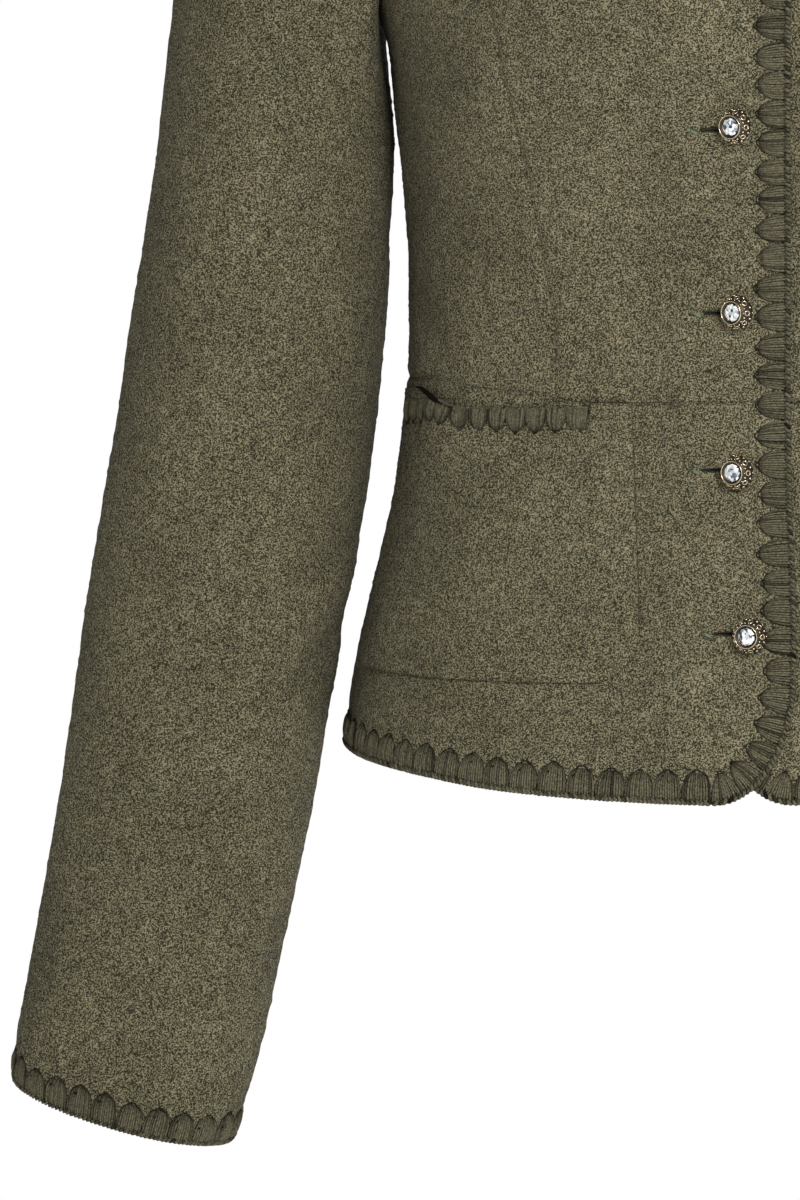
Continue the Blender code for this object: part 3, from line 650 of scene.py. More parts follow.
    def pocket_places(self) -> Grid:
        """The patch pocket with its round corner and its edged opening.

        Returns:
            Angle and height by row and column.
        """
        bottom_line = float(POCKET_BOTTOM[0, 1])
        line_across = smooth(POCKET_LINE, bottom_line)
        start = float(self.angle_at(line_across, bottom_line))
        columns = []
        for part in self.pocket_columns():
            angle = start + (90 - start) * part
            along = float(self.base(np.array(angle), np.array(bottom_line))[0] - line_across)
            inside = min(1.0, max(0.0, 1 - along / self.pocket_corner))
            bottom = float(smooth(POCKET_BOTTOM, angle)) + self.pocket_corner * (1 - math.sqrt(1 - inside**2))
            top = self.pocket_sewn_top if part <= self.step_share else self.pocket_open_top
            climb = (part - self.rise_start) / (self.rise_end - self.rise_start)
            top += self.pocket_rise * float(ease(np.array(climb)))
            heights = bottom + (top - bottom) * graded(6, 9) / 6
            lines = self.angle_at(smooth(POCKET_LINE, heights), heights)
            columns.append(np.stack([lines + (90 - lines) * part, heights], axis=1))
        return np.array(columns).transpose(1, 0, 2)


FORM = BodyForm()


@dataclass(frozen=True)
class WoolFinish:
    """Felted melange wool."""

    name: str
    dark: tuple = (0.018, 0.015, 0.008)
    middle: tuple = (0.086, 0.074, 0.041)
    light: tuple = (0.340, 0.298, 0.190)
    green: tuple = (0.046, 0.064, 0.036)
    grain: float = 1550.0
    mottle: float = 210.0
    cloud: float = 26.0
    bump: float = 0.9
    roughness: float = 0.95
    sheen: float = 0.03
    specular: float = 0.06

    def material(self) -> bpy.types.Material:
        """Makes the material, which reads Object coordinates.

        Returns:
            The material.
        """
        made, tree, shader = blank_material(self.name)
        place = tree.nodes.new("ShaderNodeTexCoord").outputs["Object"]
        fleck = noise(tree, place, self.grain, 3.0, 0.62)
        nap = noise(tree, place, self.grain * 0.42, 2.0, 0.5)
        cloud = noise(tree, place, self.cloud, 2.0, 0.5)
        ramp = ramp_of(tree, fleck, ((0.442, self.dark), (0.5, self.middle), (0.562, self.light)))
        tint = ramp_of(tree, nap, ((0.42, self.middle), (0.58, self.green)))
        mixed = mixed_colour(tree, ramp, tint, 0.26)
        broad = ramp_of(tree, cloud, ((0.3, (0.88, 0.88, 0.88)), (0.7, (1.1, 1.1, 1.1))))
        spots = noise(tree, place, self.mottle, 3.0, 0.6)
        uneven = ramp_of(tree, spots, ((0.34, (0.80, 0.80, 0.80)), (0.66, (1.12, 1.12, 1.12))))
        clouded = mixed_colour(tree, mixed, broad, 1.0, "MULTIPLY")
        mottled = mixed_colour(tree, clouded, uneven, 1.0, "MULTIPLY")
        tree.links.new(mottled, shader.inputs["Base Color"])
        bump_from(tree, shader, fleck, self.bump, 0.0007)
        shader.inputs["Roughness"].default_value = self.roughness
        shader.inputs["Sheen Weight"].default_value = self.sheen
        shader.inputs["Specular IOR Level"].default_value = self.specular
        return made


@dataclass(frozen=True)
class YarnFinish:
    """Twisted wool yarn, darker where the "shade" attribute is low."""

    name: str
    dark: tuple = (0.012, 0.011, 0.007)
    base: tuple = (0.066, 0.059, 0.034)
    light: tuple = (0.165, 0.150, 0.096)
    grain: float = 1150.0
    roughness: float = 0.92
    specular: float = 0.15

    def material(self) -> bpy.types.Material:
        """Makes the material.

        Returns:
            The material.
        """
        made, tree, shader = blank_material(self.name)
        place = tree.nodes.new("ShaderNodeTexCoord").outputs["Object"]
        fleck = noise(tree, place, self.grain, 2.0, 0.6)
        colour = ramp_of(tree, fleck, ((0.36, self.base), (0.64, self.light)))
        shade = tree.nodes.new("ShaderNodeAttribute")
        shade.attribute_name = "shade"
        dim = ramp_of(tree, shade.outputs["Fac"], ((0.0, self.dark), (1.0, (1.0, 1.0, 1.0))))
        tree.links.new(mixed_colour(tree, colour, dim, 1.0, "MULTIPLY"), shader.inputs["Base Color"])
        bump_from(tree, shader, fleck, 0.6, 0.0004)
        shader.inputs["Roughness"].default_value = self.roughness
        shader.inputs["Specular IOR Level"].default_value = self.specular
        return made


@dataclass(frozen=True)
class ThreadFinish:
    """Sewing thread, pale green where the "shade" attribute is high and near black where it is low; the near
    black is the stitches' wool colour darkened as painted shade of the slit.
    """

    name: str
    # Wool colour of the stitches, darkened to near black as painted shade of the slit
    wool: tuple = (0.026, 0.025, 0.014)
    pale: tuple = (0.150, 0.185, 0.110)
    roughness: float = 0.85

    def material(self) -> bpy.types.Material:
        """Makes the material.

        Returns:
            The material.
        """
        made, tree, shader = blank_material(self.name)
        shade = tree.nodes.new("ShaderNodeAttribute")
        shade.attribute_name = "shade"
        colour = ramp_of(tree, shade.outputs["Fac"], ((0.0, self.wool), (1.0, self.pale)))
        tree.links.new(colour, shader.inputs["Base Color"])
        shader.inputs["Roughness"].default_value = self.roughness
        return made


@dataclass(frozen=True)
class CrystalFinish:
    """A cut crystal whose base colour paints glints and reflections of its facets in white, pale blue and
    dark.
    """

    name: str
    cell: float = 820.0
    roughness: float = 0.12
    coat: float = 0.6
    # Painted glints and reflections: ramp places and colours over the facet-sized cells
    flashes: tuple = (
        (0.28, (0.04, 0.05, 0.07)), (0.40, (0.30, 0.36, 0.42)), (0.55, (0.70, 0.72, 0.68)),
        (0.70, (1.0, 1.0, 1.0)),
    )

    def material(self) -> bpy.types.Material:
        """Makes the material.

        Returns:
            The material.
        """
        made, tree, shader = blank_material(self.name)
        cells = tree.nodes.new("ShaderNodeTexVoronoi")
        cells.inputs["Scale"].default_value = self.cell
        tree.links.new(tree.nodes.new("ShaderNodeTexCoord").outputs["Object"], cells.inputs["Vector"])
        # Painted glints and reflections, as cells of colour
        tree.links.new(ramp_of(tree, cells.outputs["Color"], self.flashes), shader.inputs["Base Color"])
        shader.inputs["Roughness"].default_value = self.roughness
        shader.inputs["Coat Weight"].default_value = self.coat
        return made


@dataclass(frozen=True)
class PlainFinish:
    """An even finish, for metal and for the floor."""

    name: str
    colour: tuple
    roughness: float
    metallic: float = 0.0
    glow: float = 0.0

    def material(self) -> bpy.types.Material:
        """Makes the material.

        Returns:
            The material.
        """
        made, _, shader = blank_material(self.name)
        shader.inputs["Base Color"].default_value = (*self.colour, 1.0)
        shader.inputs["Roughness"].default_value = self.roughness
        shader.inputs["Metallic"].default_value = self.metallic
        shader.inputs["Emission Color"].default_value = (1.0, 1.0, 1.0, 1.0)
        shader.inputs["Emission Strength"].default_value = self.glow
        return made


def blank_material(name: str) -> tuple:
    """A new material with its node tree and shader.

    Args:
        name: The material's name.

    Returns:
        The material, its node tree and its shader.
    """
    made = bpy.data.materials.new(name)
    made.use_nodes = True
    return made, made.node_tree, made.node_tree.nodes["Principled BSDF"]


def noise(tree: Tree, place: Socket, scale: float, detail: float, roughness: float) -> Socket:
    """A noise texture's value.

    Args:
        tree: The node tree.
        place: The coordinates.
        scale: The noise's scale.
        detail: Its detail.
        roughness: Its roughness.

    Returns:
        The value.
    """
    node = tree.nodes.new("ShaderNodeTexNoise")
    node.inputs["Scale"].default_value = scale
    node.inputs["Detail"].default_value = detail
    node.inputs["Roughness"].default_value = roughness
    tree.links.new(place, node.inputs["Vector"])
    return node.outputs["Fac"]


def ramp_of(tree: Tree, value: Socket, stops: Sequence[tuple]) -> Socket:
    """A colour ramp over a value.

    Args:
        tree: The node tree.
        value: The value.
        stops: Pairs of place and colour.

    Returns:
        The colour.
    """
    node = tree.nodes.new("ShaderNodeValToRGB")
    while len(node.color_ramp.elements) < len(stops):
        node.color_ramp.elements.new(0.5)
    for element, (place, colour) in zip(node.color_ramp.elements, stops):
        element.position = place
        element.color = (*colour, 1.0)
    tree.links.new(value, node.inputs["Fac"])
    return node.outputs["Color"]


def mixed_colour(tree: Tree, first: Socket, second: Socket, share: float, blend: str = "MIX") -> Socket:
    """Two colours mixed.

    Args:
        tree: The node tree.
        first: The first colour.
        second: The second colour.
        share: How much of the second goes in.
        blend: The way of mixing.

    Returns:
        The mixed colour.
    """
    node = tree.nodes.new("ShaderNodeMix")
    node.data_type = "RGBA"
    node.blend_type = blend
    node.inputs[0].default_value = share
    tree.links.new(first, node.inputs[6])
    tree.links.new(second, node.inputs[7])
    return node.outputs[2]


def bump_from(
    tree: Tree, shader: bpy.types.ShaderNode, value: Socket, strength: float, distance: float
) -> None:
    """Raises a surface's grain by a value.

    Args:
        tree: The node tree.
        shader: The shader.
        value: The value that stands for height.
        strength: The bump's strength.
        distance: The bump's height, in metres.
    """
    node = tree.nodes.new("ShaderNodeBump")
    node.inputs["Strength"].default_value = strength
    node.inputs["Distance"].default_value = distance
    tree.links.new(value, node.inputs["Height"])
    tree.links.new(node.outputs["Normal"], shader.inputs["Normal"])


def to_metres(points: Grid) -> Grid:
    """Points in millimetres and heights, moved to the frame in metres."""
    return (points - np.array([0.0, 0.0, HOLD_HEIGHT])) * MM


def grid_into(bm: bmesh.types.BMesh, points: Grid) -> list:
    """Adds a grid of points to a mesh.

    Args:
        bm: The mesh.
        points: Rows and columns of points in millimetres.

    Returns:
        The new vertices in the order of the points.
    """
    rows, columns = points.shape[:2]
    made = bmesh.ops.create_grid(bm, x_segments=columns - 1, y_segments=rows - 1, size=0.5)
    flat = to_metres(points).reshape(-1, 3).tolist()
    placed = [None] * len(flat)
    for vertex in made["verts"]:
        row = round((vertex.co.y + 0.5) * (rows - 1))
        column = round((vertex.co.x + 0.5) * (columns - 1))
        placed[row * columns + column] = vertex
    for vertex, place in zip(placed, flat):
        vertex.co = place
    return placed


def finished(bm: bmesh.types.BMesh, name: str, outward: bool = True) -> bpy.types.Object:
    """Turns a mesh's faces outward, shades them softly and links the object.

    Args:
        bm: The mesh, which is used up.
        name: The object's name.
        outward: Whether the mesh is one closed body, to turn by its volume.

    Returns:
        The object.
    """
    bmesh.ops.recalc_face_normals(bm, faces=bm.faces[:])
    if outward and bm.calc_volume(signed=True) < 0:
        bmesh.ops.reverse_faces(bm, faces=bm.faces[:])
    for face in bm.faces:
        face.smooth = True
    mesh = bpy.data.meshes.new(name)
    bm.to_mesh(mesh)
    bm.free()
    made = bpy.data.objects.new(name, mesh)
    bpy.context.scene.collection.objects.link(made)
    return made


def seated(
    piece: bpy.types.Object, material: bpy.types.Material, slot: Slot, *nodes: str
) -> bpy.types.Object:
    """Gives a piece its finish, hangs it from the root and hides the CAD nodes that it stands for.

    Args:
        piece: The piece.
        material: Its finish.
        slot: Not used.
        nodes: The CAD nodes.

    Returns:
        The piece.
    """
    piece.data.materials.append(material)
    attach(piece, "root")
    if nodes:
        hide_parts(*nodes)
    LOG.info("%s: %d triangles", piece.name, sum(len(p.vertices) - 2 for p in piece.data.polygons))
    return piece


@dataclass
class ClothPanel:
    """A closed cloth wall with creases, seam puckers and a nap.

    Its places are the whole panel, or the half of it at +X where it is doubled.
    """

    name: str
    surface: Surface
    places: Grid
    side: int = 1
    seams: tuple = ("first_row", "last_row", "first_column", "last_column")
    seed: int = 3
    nap: float = 0.20
    doubled: bool = False
    nap_start: float = 4.5
    swell: float = 0.3
    swell_at: float = 3.8
    swell_width: float = 2.4
    dip: float = 0.75
    dip_width: float = 1.7
    inner_share: float = 0.3
    flat: tuple = field(default=(0.0, 0.0), init=False)
    area: float = field(default=0.0, init=False)
    near: Grid | None = field(default=None, init=False)
    piece: bpy.types.Object | None = field(default=None, init=False)

    def points(self) -> tuple:
        """The wall's outer and inner points.

        Returns:
            The two grids.
        """
        angle, height = self.places[..., 0], self.places[..., 1]
        base = self.surface(angle, height)
        normal = normals_of(self.surface, angle, height)
        folded = 180 - np.abs(180 - np.abs(angle))
        scale = np.pi * self.form_radius(height) / 180
        rise = creased(BODY_CREASES, folded, height, scale)
        return self.walled(base, normal, rise)

    def form_radius(self, height: Grid) -> Grid:
        """A mean radius of the body at a height."""
        return (FORM.half_width(height) + smooth(BODY, height, 2)) / 2

    def walled(self, base: Grid, normal: Grid, rise: Grid) -> tuple:
        """Raises the outer points and sets the inner ones a wall below the form.

        Args:
            base: Points of the form.
            normal: Unit normals.
            rise: Rise of the creases.

        Returns:
            The two grids.
        """
        rise = rise + self.pucker(base)
        still = 1 - np.exp(-((self.near / self.nap_start) ** 2))
        rise = rise + still * np.random.default_rng(self.seed).normal(0, self.nap, rise.shape)
        sunk = np.minimum(rise, 0)[..., None] * self.inner_share * normal
        return base + rise[..., None] * normal, base - WALL * normal + sunk

    def pucker(self, base: Grid) -> Grid:
        """The cloth's dip at a seam and its swell beside it.

        Args:
            base: Points of the form.

        Returns:
            The rise of each point.
        """
        along_rows = np.cumsum(np.linalg.norm(np.diff(base, axis=0), axis=-1), axis=0)
        along_rows = np.concatenate([np.zeros_like(along_rows[:1]), along_rows])
        across = np.cumsum(np.linalg.norm(np.diff(base, axis=1), axis=-1), axis=1)
        across = np.concatenate([np.zeros_like(across[:, :1]), across], axis=1)
        away = {
            "first_row": along_rows, "last_row": along_rows[-1:] - along_rows,
            "first_column": across, "last_column": across[:, -1:] - across,
        }
        self.flat = (float(across[:, -1].max()) * MM, float(along_rows[-1].max()) * MM)
        near = np.full(base.shape[:2], 99.0)
        for name in self.seams:
            near = np.minimum(near, away[name])
        self.near = near
        swell = self.swell * np.exp(-(((near - self.swell_at) / self.swell_width) ** 2))
        return swell - self.dip * np.exp(-((near / self.dip_width) ** 2))

    def measured(self, points: Grid) -> float:
        """The area of a grid of points, in square metres.

        Args:
            points: Rows and columns of points.

        Returns:
            The area.
        """
        down, along = points[1:, :-1] - points[:-1, :-1], points[:-1, 1:] - points[:-1, :-1]
        up, back = points[:-1, 1:] - points[1:, 1:], points[1:, :-1] - points[1:, 1:]
        corners = np.linalg.norm(np.cross(down, along), axis=-1) + np.linalg.norm(np.cross(up, back), axis=-1)
        return float(corners.sum()) / 2 * MM * MM

    def build(self) -> bpy.types.Object:
        """Builds the closed wall, of one grid or of two mirrored ones that meet at the centre.

        Returns:
            The wall.
        """
        outer, inner = self.points()
        signs = (1, -1) if self.doubled else (self.side,)
        self.area = self.measured(outer) * len(signs)
        self.flat = (self.flat[0] * len(signs), self.flat[1])
        outer, inner = drawn_back(outer, self.doubled), drawn_back(inner, self.doubled)
        bm = bmesh.new()
        layer = bm.verts.layers.int.new("station")
        below = []
        for sign in signs:
            turned = np.array([sign, 1.0, 1.0])
            for number, vertex in enumerate(grid_into(bm, outer * turned), start=len(below)):
                vertex[layer] = number
            below += to_metres(inner * turned).reshape(-1, 3).tolist()
        bmesh.ops.remove_doubles(bm, verts=bm.verts[:], dist=WELD)
        bmesh.ops.recalc_face_normals(bm, faces=bm.faces[:])
        made = bmesh.ops.extrude_face_region(bm, geom=bm.faces[:], use_keep_orig=True)
        for part in made["geom"]:
            if isinstance(part, bmesh.types.BMVert):
                part.co = below[part[layer]]
        return finished(bm, f"{self.name}_cloth")

    def dress(self, material: bpy.types.Material) -> bpy.types.Object:
        """Builds the panel and gives it its finish."""
        self.piece = seated(self.build(), material, Slot.WOOL, self.name)
        return self.piece

    def declare(self, hangs_from: Sequence[str], trims: Sequence[bpy.types.Object]) -> None:
        """Takes what the panel hangs from and what is sewn on it, and does nothing with them.

        Args:
            hangs_from: Not used.
            trims: Not used.
        """


def drawn_back(grid: Grid, joined: bool = False) -> Grid:
    """A grid whose borders are drawn back a little from the seams.

    Args:
        grid: Rows and columns of points.
        joined: Whether the first column meets a mirrored grid, and so stays where it is.

    Returns:
        The grid. Its columns stay where they are if it closes on itself.
    """
    grid = grid.copy()
    pairs = [(grid[0], grid[1]), (grid[-1], grid[-2])]
    if not np.allclose(grid[:, 0], grid[:, -1]):
        pairs.append((grid[:, -1], grid[:, -2]))
        if not joined:
            pairs.append((grid[:, 0], grid[:, 1]))
    for border, inside in pairs:
        border += SEAM_PULL * unit(inside - border)
    return grid


@dataclass
class SleevePanel(ClothPanel):
    """A sleeve from the armhole to the cuff."""

    stations: int = 24
    station_parts: int = 8
    cap_rings: int = 44
    ring_step: float = 3.0
    cap_end: float = 282.0
    cuff_height: float = -124.0
    seam_gap: float = 0.35
    shoulder_pull: float = 40.0
    underarm_pull: float = 12.0
    top_pull: float = 88.0

    def rings(self) -> Grid:
        """The sleeve's points, ring by ring from the armhole to the cuff, for the side at +X.

        Returns:
            Points by ring and station.
        """
        front = [ARMHOLE_FRONT[row] for row in range(len(ARMHOLE_FRONT) - 1, -1, -1)]
        corners = np.array(front + list(ARMHOLE_BACK[1:-1]) + front[:1], float)
        at = np.arange(self.stations * self.station_parts) / self.station_parts
        low = at.astype(int)
        part = (at - low)[:, None]
        places = corners[low] * (1 - part) + corners[low + 1] * part
        edge = FORM.base(places[:, 0], places[:, 1])
        normals = normals_of(FORM.base, places[:, 0], places[:, 1])
        away = unit(np.cross(normals, np.roll(edge, -1, axis=0) - np.roll(edge, 1, axis=0)))
        away *= np.sign((away * (edge.mean(axis=0) - edge)).sum(axis=1))[:, None]
        start = edge + self.seam_gap * (away + normals)
        turns = np.radians(at * 360 / self.stations)
        heights = np.arange(self.cap_end, self.cuff_height - 0.1, -self.ring_step)
        lower = [self.ring_at(height, turns) for height in heights]
        lower.append(self.ring_at(self.cuff_height, turns))
        axis = unit(np.array([4.0, 0, -39.0]))
        weight = ((1 + np.cos(turns)) / 2)[:, None]
        second = start + self.shoulder_pull * weight * np.array([1.0, 0.0, -0.33])
        third = lower[0] - (self.underarm_pull + self.top_pull * weight) * axis
        rings = []
        for part in np.linspace(0, 1, self.cap_rings, endpoint=False):
            rest = 1 - part
            upper = rest**3 * start + 3 * rest**2 * part * second
            rings.append(upper + 3 * rest * part**2 * third + part**3 * lower[0])
        return np.array(rings + lower)

    def ring_at(self, height: float, turns: Grid) -> Grid:
        """One ring of the sleeve below its cap.

        Args:
            height: The ring's height.
            turns: Turns from the outer side towards the front, in radians.

        Returns:
            The ring's points.
        """
        row = [float(smooth(SLEEVE[::-1], height, column)) for column in range(1, 6)]
        centre, width, middle, depth, tilt = row
        fold = 0.9 * np.cos(3 * turns + height / 90)
        power = 2 / 2.1
        out = np.sign(np.cos(turns)) * np.abs(np.cos(turns)) ** power
        forward = np.sign(np.sin(turns)) * np.abs(np.sin(turns)) ** power
        x = centre + (width / 2) * out + fold * np.cos(turns) * np.abs(np.sin(turns))
        y = middle - (depth / 2) * forward - fold * np.sin(turns)
        return np.stack([x, y, height + tilt * (12.9 * out - 7.0 * forward)], axis=1)

    def ring_normals(self, rings: Grid) -> Grid:
        """Unit normals out of the sleeve.

        Args:
            rings: Points by ring and station.

        Returns:
            The normals.
        """
        around = np.roll(rings, -1, axis=1) - np.roll(rings, 1, axis=1)
        normals = unit(np.cross(around, np.gradient(rings, axis=0)))
        outwards = (normals * (rings - rings.mean(axis=1, keepdims=True))).sum(axis=2)
        return normals * np.sign(np.median(outwards))

    def points(self) -> tuple:
        """The sleeve's outer and inner points, closed round.

        Returns:
            The two grids.
        """
        rings = self.rings()
        normals = self.ring_normals(rings)
        turns = np.broadcast_to(np.arange(rings.shape[1]) * 360 / rings.shape[1], rings.shape[:2])
        rise = creased(SLEEVE_CREASES, turns, rings[..., 2], np.full(rings.shape[:2], 0.9))
        walls = self.walled(rings, normals, rise)
        return tuple(np.concatenate([grid, grid[:, :1]], axis=1) for grid in walls)


@dataclass
class EdgeRun:
    """A strip of cloth along an edge: points and normals by station and by depth from the edge."""

    points: Grid
    normals: Grid
    depth_step: float
    closed: bool = False

    def __post_init__(self) -> None:
        """Works out the lengths and directions along the edge."""
        edge = self.points[:, 0]
        self.length_at = np.concatenate([[0], np.cumsum(np.linalg.norm(np.diff(edge, axis=0), axis=1))])
        self.inward = unit(self.points[:, 1] - edge)
        self.ahead = unit(np.gradient(edge, axis=0))

    @property
    def length(self) -> float:
        """The edge's length."""
        return float(self.length_at[-1])

    def at(self, along: Grid, depth: Grid, up: Grid) -> Grid:
        """Points over the strip.

        Args:
            along: Length along the edge.
            depth: Distance inward from the edge, below zero outside it.
            up: Distance out of the cloth's face.

        Returns:
            The points, in millimetres.
        """
        if self.closed:
            along = np.mod(along, self.length)
        past = along - np.clip(along, 0, self.length)
        station = np.interp(along, self.length_at, np.arange(len(self.length_at)))
        low = np.minimum(station.astype(int), len(self.length_at) - 2)
        part = (station - low)[..., None]
        row = np.clip(depth / self.depth_step, 0, self.points.shape[1] - 1.001)
        over = row.astype(int)
        rest = (row - over)[..., None]
        found = []
        for grid in (self.points, self.normals):
            near = grid[low, over] * (1 - part) + grid[low + 1, over] * part
            far = grid[low, over + 1] * (1 - part) + grid[low + 1, over + 1] * part
            found.append(near * (1 - rest) + far * rest)
        inward = self.inward[low] * (1 - part) + self.inward[low + 1] * part
        outside = np.minimum(depth, 0)[..., None] * inward
        beyond = np.broadcast_to(past, low.shape)[..., None] * self.ahead[low]
        return found[0] + outside + beyond + np.asarray(up)[..., None] * unit(found[1])


def body_run(places: Grid, surface: Surface, inside: int) -> EdgeRun:
    """The strip along an edge of the body, from the places of the edge.

    Args:
        places: Angles and heights along the edge.
        surface: The surface that the edge lies on.
        inside: 1 or -1, for which side of the edge the cloth lies on.

    Returns:
        The strip.
    """
    share = np.linspace(0, len(places) - 1, (len(places) - 1) * 16 + 1)
    dense = np.stack([np.interp(share, np.arange(len(places)), places[:, c]) for c in (0, 1)], axis=1)
    line = surface(dense[:, 0], dense[:, 1])
    length = np.concatenate([[0], np.cumsum(np.linalg.norm(np.diff(line, axis=0), axis=1))])
    small = 0.05
    at = np.linspace(small, length[-1] - small, max(8, int(length[-1] / RUN_STEP)))
    spots = np.stack([np.interp(at, length, dense[:, c]) for c in (0, 1)], axis=1)
    edge = surface(spots[:, 0], spots[:, 1])
    normal = normals_of(surface, spots[:, 0], spots[:, 1])
    inward = inside * np.cross(normal, unit(np.gradient(edge, axis=0)))
    by_angle = (surface(spots[:, 0] + small, spots[:, 1]) - edge) / small
    by_height = (edge - surface(spots[:, 0], spots[:, 1] - small)) / small
    slopes = np.stack([by_angle, by_height], axis=2)
    change = np.einsum("nij,nj->ni", np.linalg.pinv(slopes), inward)
    depths = np.arange(0, RUN_DEPTH, RUN_STEP)
    moved = spots[:, None, :] + depths[None, :, None] * change[:, None, :]
    angle, height = moved[..., 0], moved[..., 1]
    return EdgeRun(surface(angle, height), normals_of(surface, angle, height), RUN_STEP)


def sleeve_run(sleeve: SleevePanel) -> EdgeRun:
    """The strip round a sleeve's end.

    Args:
        sleeve: The sleeve.

    Returns:
        The strip.
    """
    rings = sleeve.rings()
    normals = sleeve.ring_normals(rings)
    near, facing = rings[-CUFF_RINGS:][::-1], normals[-CUFF_RINGS:][::-1]
    steps = np.linalg.norm(np.diff(near, axis=0), axis=2)
    away = np.concatenate([[np.zeros(near.shape[1])], np.cumsum(steps, axis=0)])
    depths = np.arange(0, RUN_DEPTH, RUN_STEP)
    grids = []
    for grid in (near, facing):
        columns = []
        for station in range(near.shape[1]):
            axes = [np.interp(depths, away[:, station], grid[:, station, axis]) for axis in range(3)]
            columns.append(np.stack(axes, axis=1))
        grids.append(np.array(columns + columns[:1]))
    return EdgeRun(grids[0], grids[1], RUN_STEP, closed=True)


@dataclass
class Edging:
    """Crochet edging: shells of yarn over the cloth and a rope of slanted stitches outside its edge."""

    name: str
    run: EdgeRun
    side: int = 1
    pitch: float = 12.5
    tip: float = 10.5
    tip_width: float = 0.30
    arch: float = 2.2
    rounding: float = 0.16
    strands: int = 11
    rope_out: float = 1.5
    rope_up: float = -0.2
    rope_radius: float = 1.45
    stitch_pitch: float = 1.85
    # The run along which a black strand paints the shadow of the pocket's gaping opening
    gap: EdgeRun | None = None
    tone: float = 1.12
    seed: int = 5
    root_depth: float = 1.4
    lift: float = 0.35
    middle_lift: float = 1.15
    tip_fall: float = 0.9
    strand_radius: float = 0.58
    strand_thinning: float = 0.18
    stitch_slant: float = 3.0
    stitch_radius: float = 0.62
    stitch_swell: float = 0.22
    knot_turn: float = 1.7
    # Dark tone of the fillings: painted shade in the gaps between the stitches and the strands
    core_shade: float = 0.13
    core_overhang: float = 2.2

    def shells(self) -> int:
        """How many shells the edge has, as in the CAD part."""
        return max(1, round(self.run.length / self.pitch))

    def wobble(self) -> tuple:
        """The lean and the height of every shell.

        Returns:
            The two, by shell.
        """
        random = np.random.default_rng(self.seed + 2)
        count = self.shells()
        return random.normal(0, 0.35, (count, 1, 1)), 1 + random.normal(0, 0.045, (count, 1, 1))

    def over_shell(self, u: Grid, t: Grid, out: float = 0.0) -> tuple:
        """Where the places of a shell lie along the edge and how deep they reach.

        Args:
            u: Across the shell, from -0.5 to 0.5, by shell, strand and step.
            t: From the rope (0) to the tip (1), in the same way.
            out: How far outside the shell's border the place lies.

        Returns:
            Length along the edge and depth from it.
        """
        count = self.shells()
        width = self.run.length / count
        lean, tall = self.wobble()
        shell = np.arange(count)[:, None, None]
        narrow = self.tip_width + (1 - self.tip_width) * np.sqrt(1 - t**self.arch)
        along = (shell + 0.5) * width + width * u * narrow * 0.97 + np.sign(u) * out + lean * t
        length = self.tip * tall * (1 - self.rounding * (2 * u) ** 2) + self.root_depth
        depth = -self.root_depth + length * t
        return along, depth

    def fans(self) -> tuple:
        """Paths, radii and shades of the strands of every shell.

        Returns:
            The three, by strand and step.
        """
        random = np.random.default_rng(self.seed)
        count = self.shells()
        share = (np.arange(self.strands) + 0.5) / self.strands - 0.5
        t = np.linspace(0, 1, 9)[None, None, :]
        u = share[None, :, None] + random.normal(0, 0.006, (count, self.strands, 1))
        along, depth = self.over_shell(u, t)
        swell = np.sin(np.pi * np.clip(t * 0.92 + 0.06, 0, 1))
        up = self.lift + self.middle_lift * swell * (1 - 0.55 * (2 * u) ** 2) - self.tip_fall * t**6
        up = up + random.normal(0, 0.07, along.shape)
        paths = self.run.at(along, depth, up)
        radii = np.broadcast_to(self.strand_radius - self.strand_thinning * t, along.shape).copy()
        radii[..., -1] = 0.0
        # Each strand's random tone is the yarn's own; the darkening at a shell's sides and at its tip is
        # painted shade, and the roots are a little darker too
        tone = np.clip(self.tone + random.normal(0, 0.32, (count, self.strands, 1)), 0.3, 1.5)
        edge = 1 - 0.42 * (2 * np.abs(u)) ** 4
        shades = np.broadcast_to(tone * edge * (1 - 0.8 * t**3.2) * (1 - 0.2 * (1 - t) ** 6), along.shape)
        steps = t.shape[2]
        return paths.reshape(-1, steps, 3), radii.reshape(-1, steps), shades.reshape(-1, steps)

    def outlines(self) -> tuple:
        """A dark strand that paints the shadow up one side of each shell, over its tip and down the other.

        Returns:
            Paths, radii and shades by shell and step.
        """
        count = self.shells()
        u = SHADOW_OUTLINE[None, None, :, 0] / 2
        t = SHADOW_OUTLINE[None, None, :, 1]
        along, depth = self.over_shell(u, np.minimum(t, 1.0), 0.12)
        depth = depth + 0.25 * (t > 0.9)
        paths = self.run.at(along, depth, np.full(along.shape, 0.12))[:, 0]
        radii = np.tile(SHADOW_OUTLINE[:, 2], (count, 1))
        # Painted shadow: the strand is dark, darkest over the tip
        shades = np.broadcast_to(0.14 + 0.22 * (1 - t[:, 0] ** 3), radii.shape)
        return paths, radii, shades

    def rope(self) -> tuple:
        """Slanted stitches wrapped round the cloth's edge.

        Returns:
            Paths, radii and shades by stitch and step.
        """
        random = np.random.default_rng(self.seed + 1)
        count = max(4, int(self.run.length / self.stitch_pitch))
        turn = np.radians(np.linspace(-140, 165, 9))[None]
        start = (np.arange(count) + 0.5)[:, None] * self.run.length / count
        along = start + self.stitch_slant * (turn / math.pi) + random.normal(0, 0.12, (count, 1))
        depth = -self.rope_out - self.rope_radius * np.cos(turn) + 0 * along
        up = self.rope_up + self.rope_radius * np.sin(turn) + 0 * along
        bulge = np.cos(turn * 2 - self.knot_turn)
        knots = self.stitch_radius + self.stitch_swell * bulge
        radii = np.broadcast_to(knots, along.shape) * (1 + random.normal(0, 0.07, (count, 1)))
        radii = radii.copy()
        radii[:, 0] = radii[:, -1] = 0.0
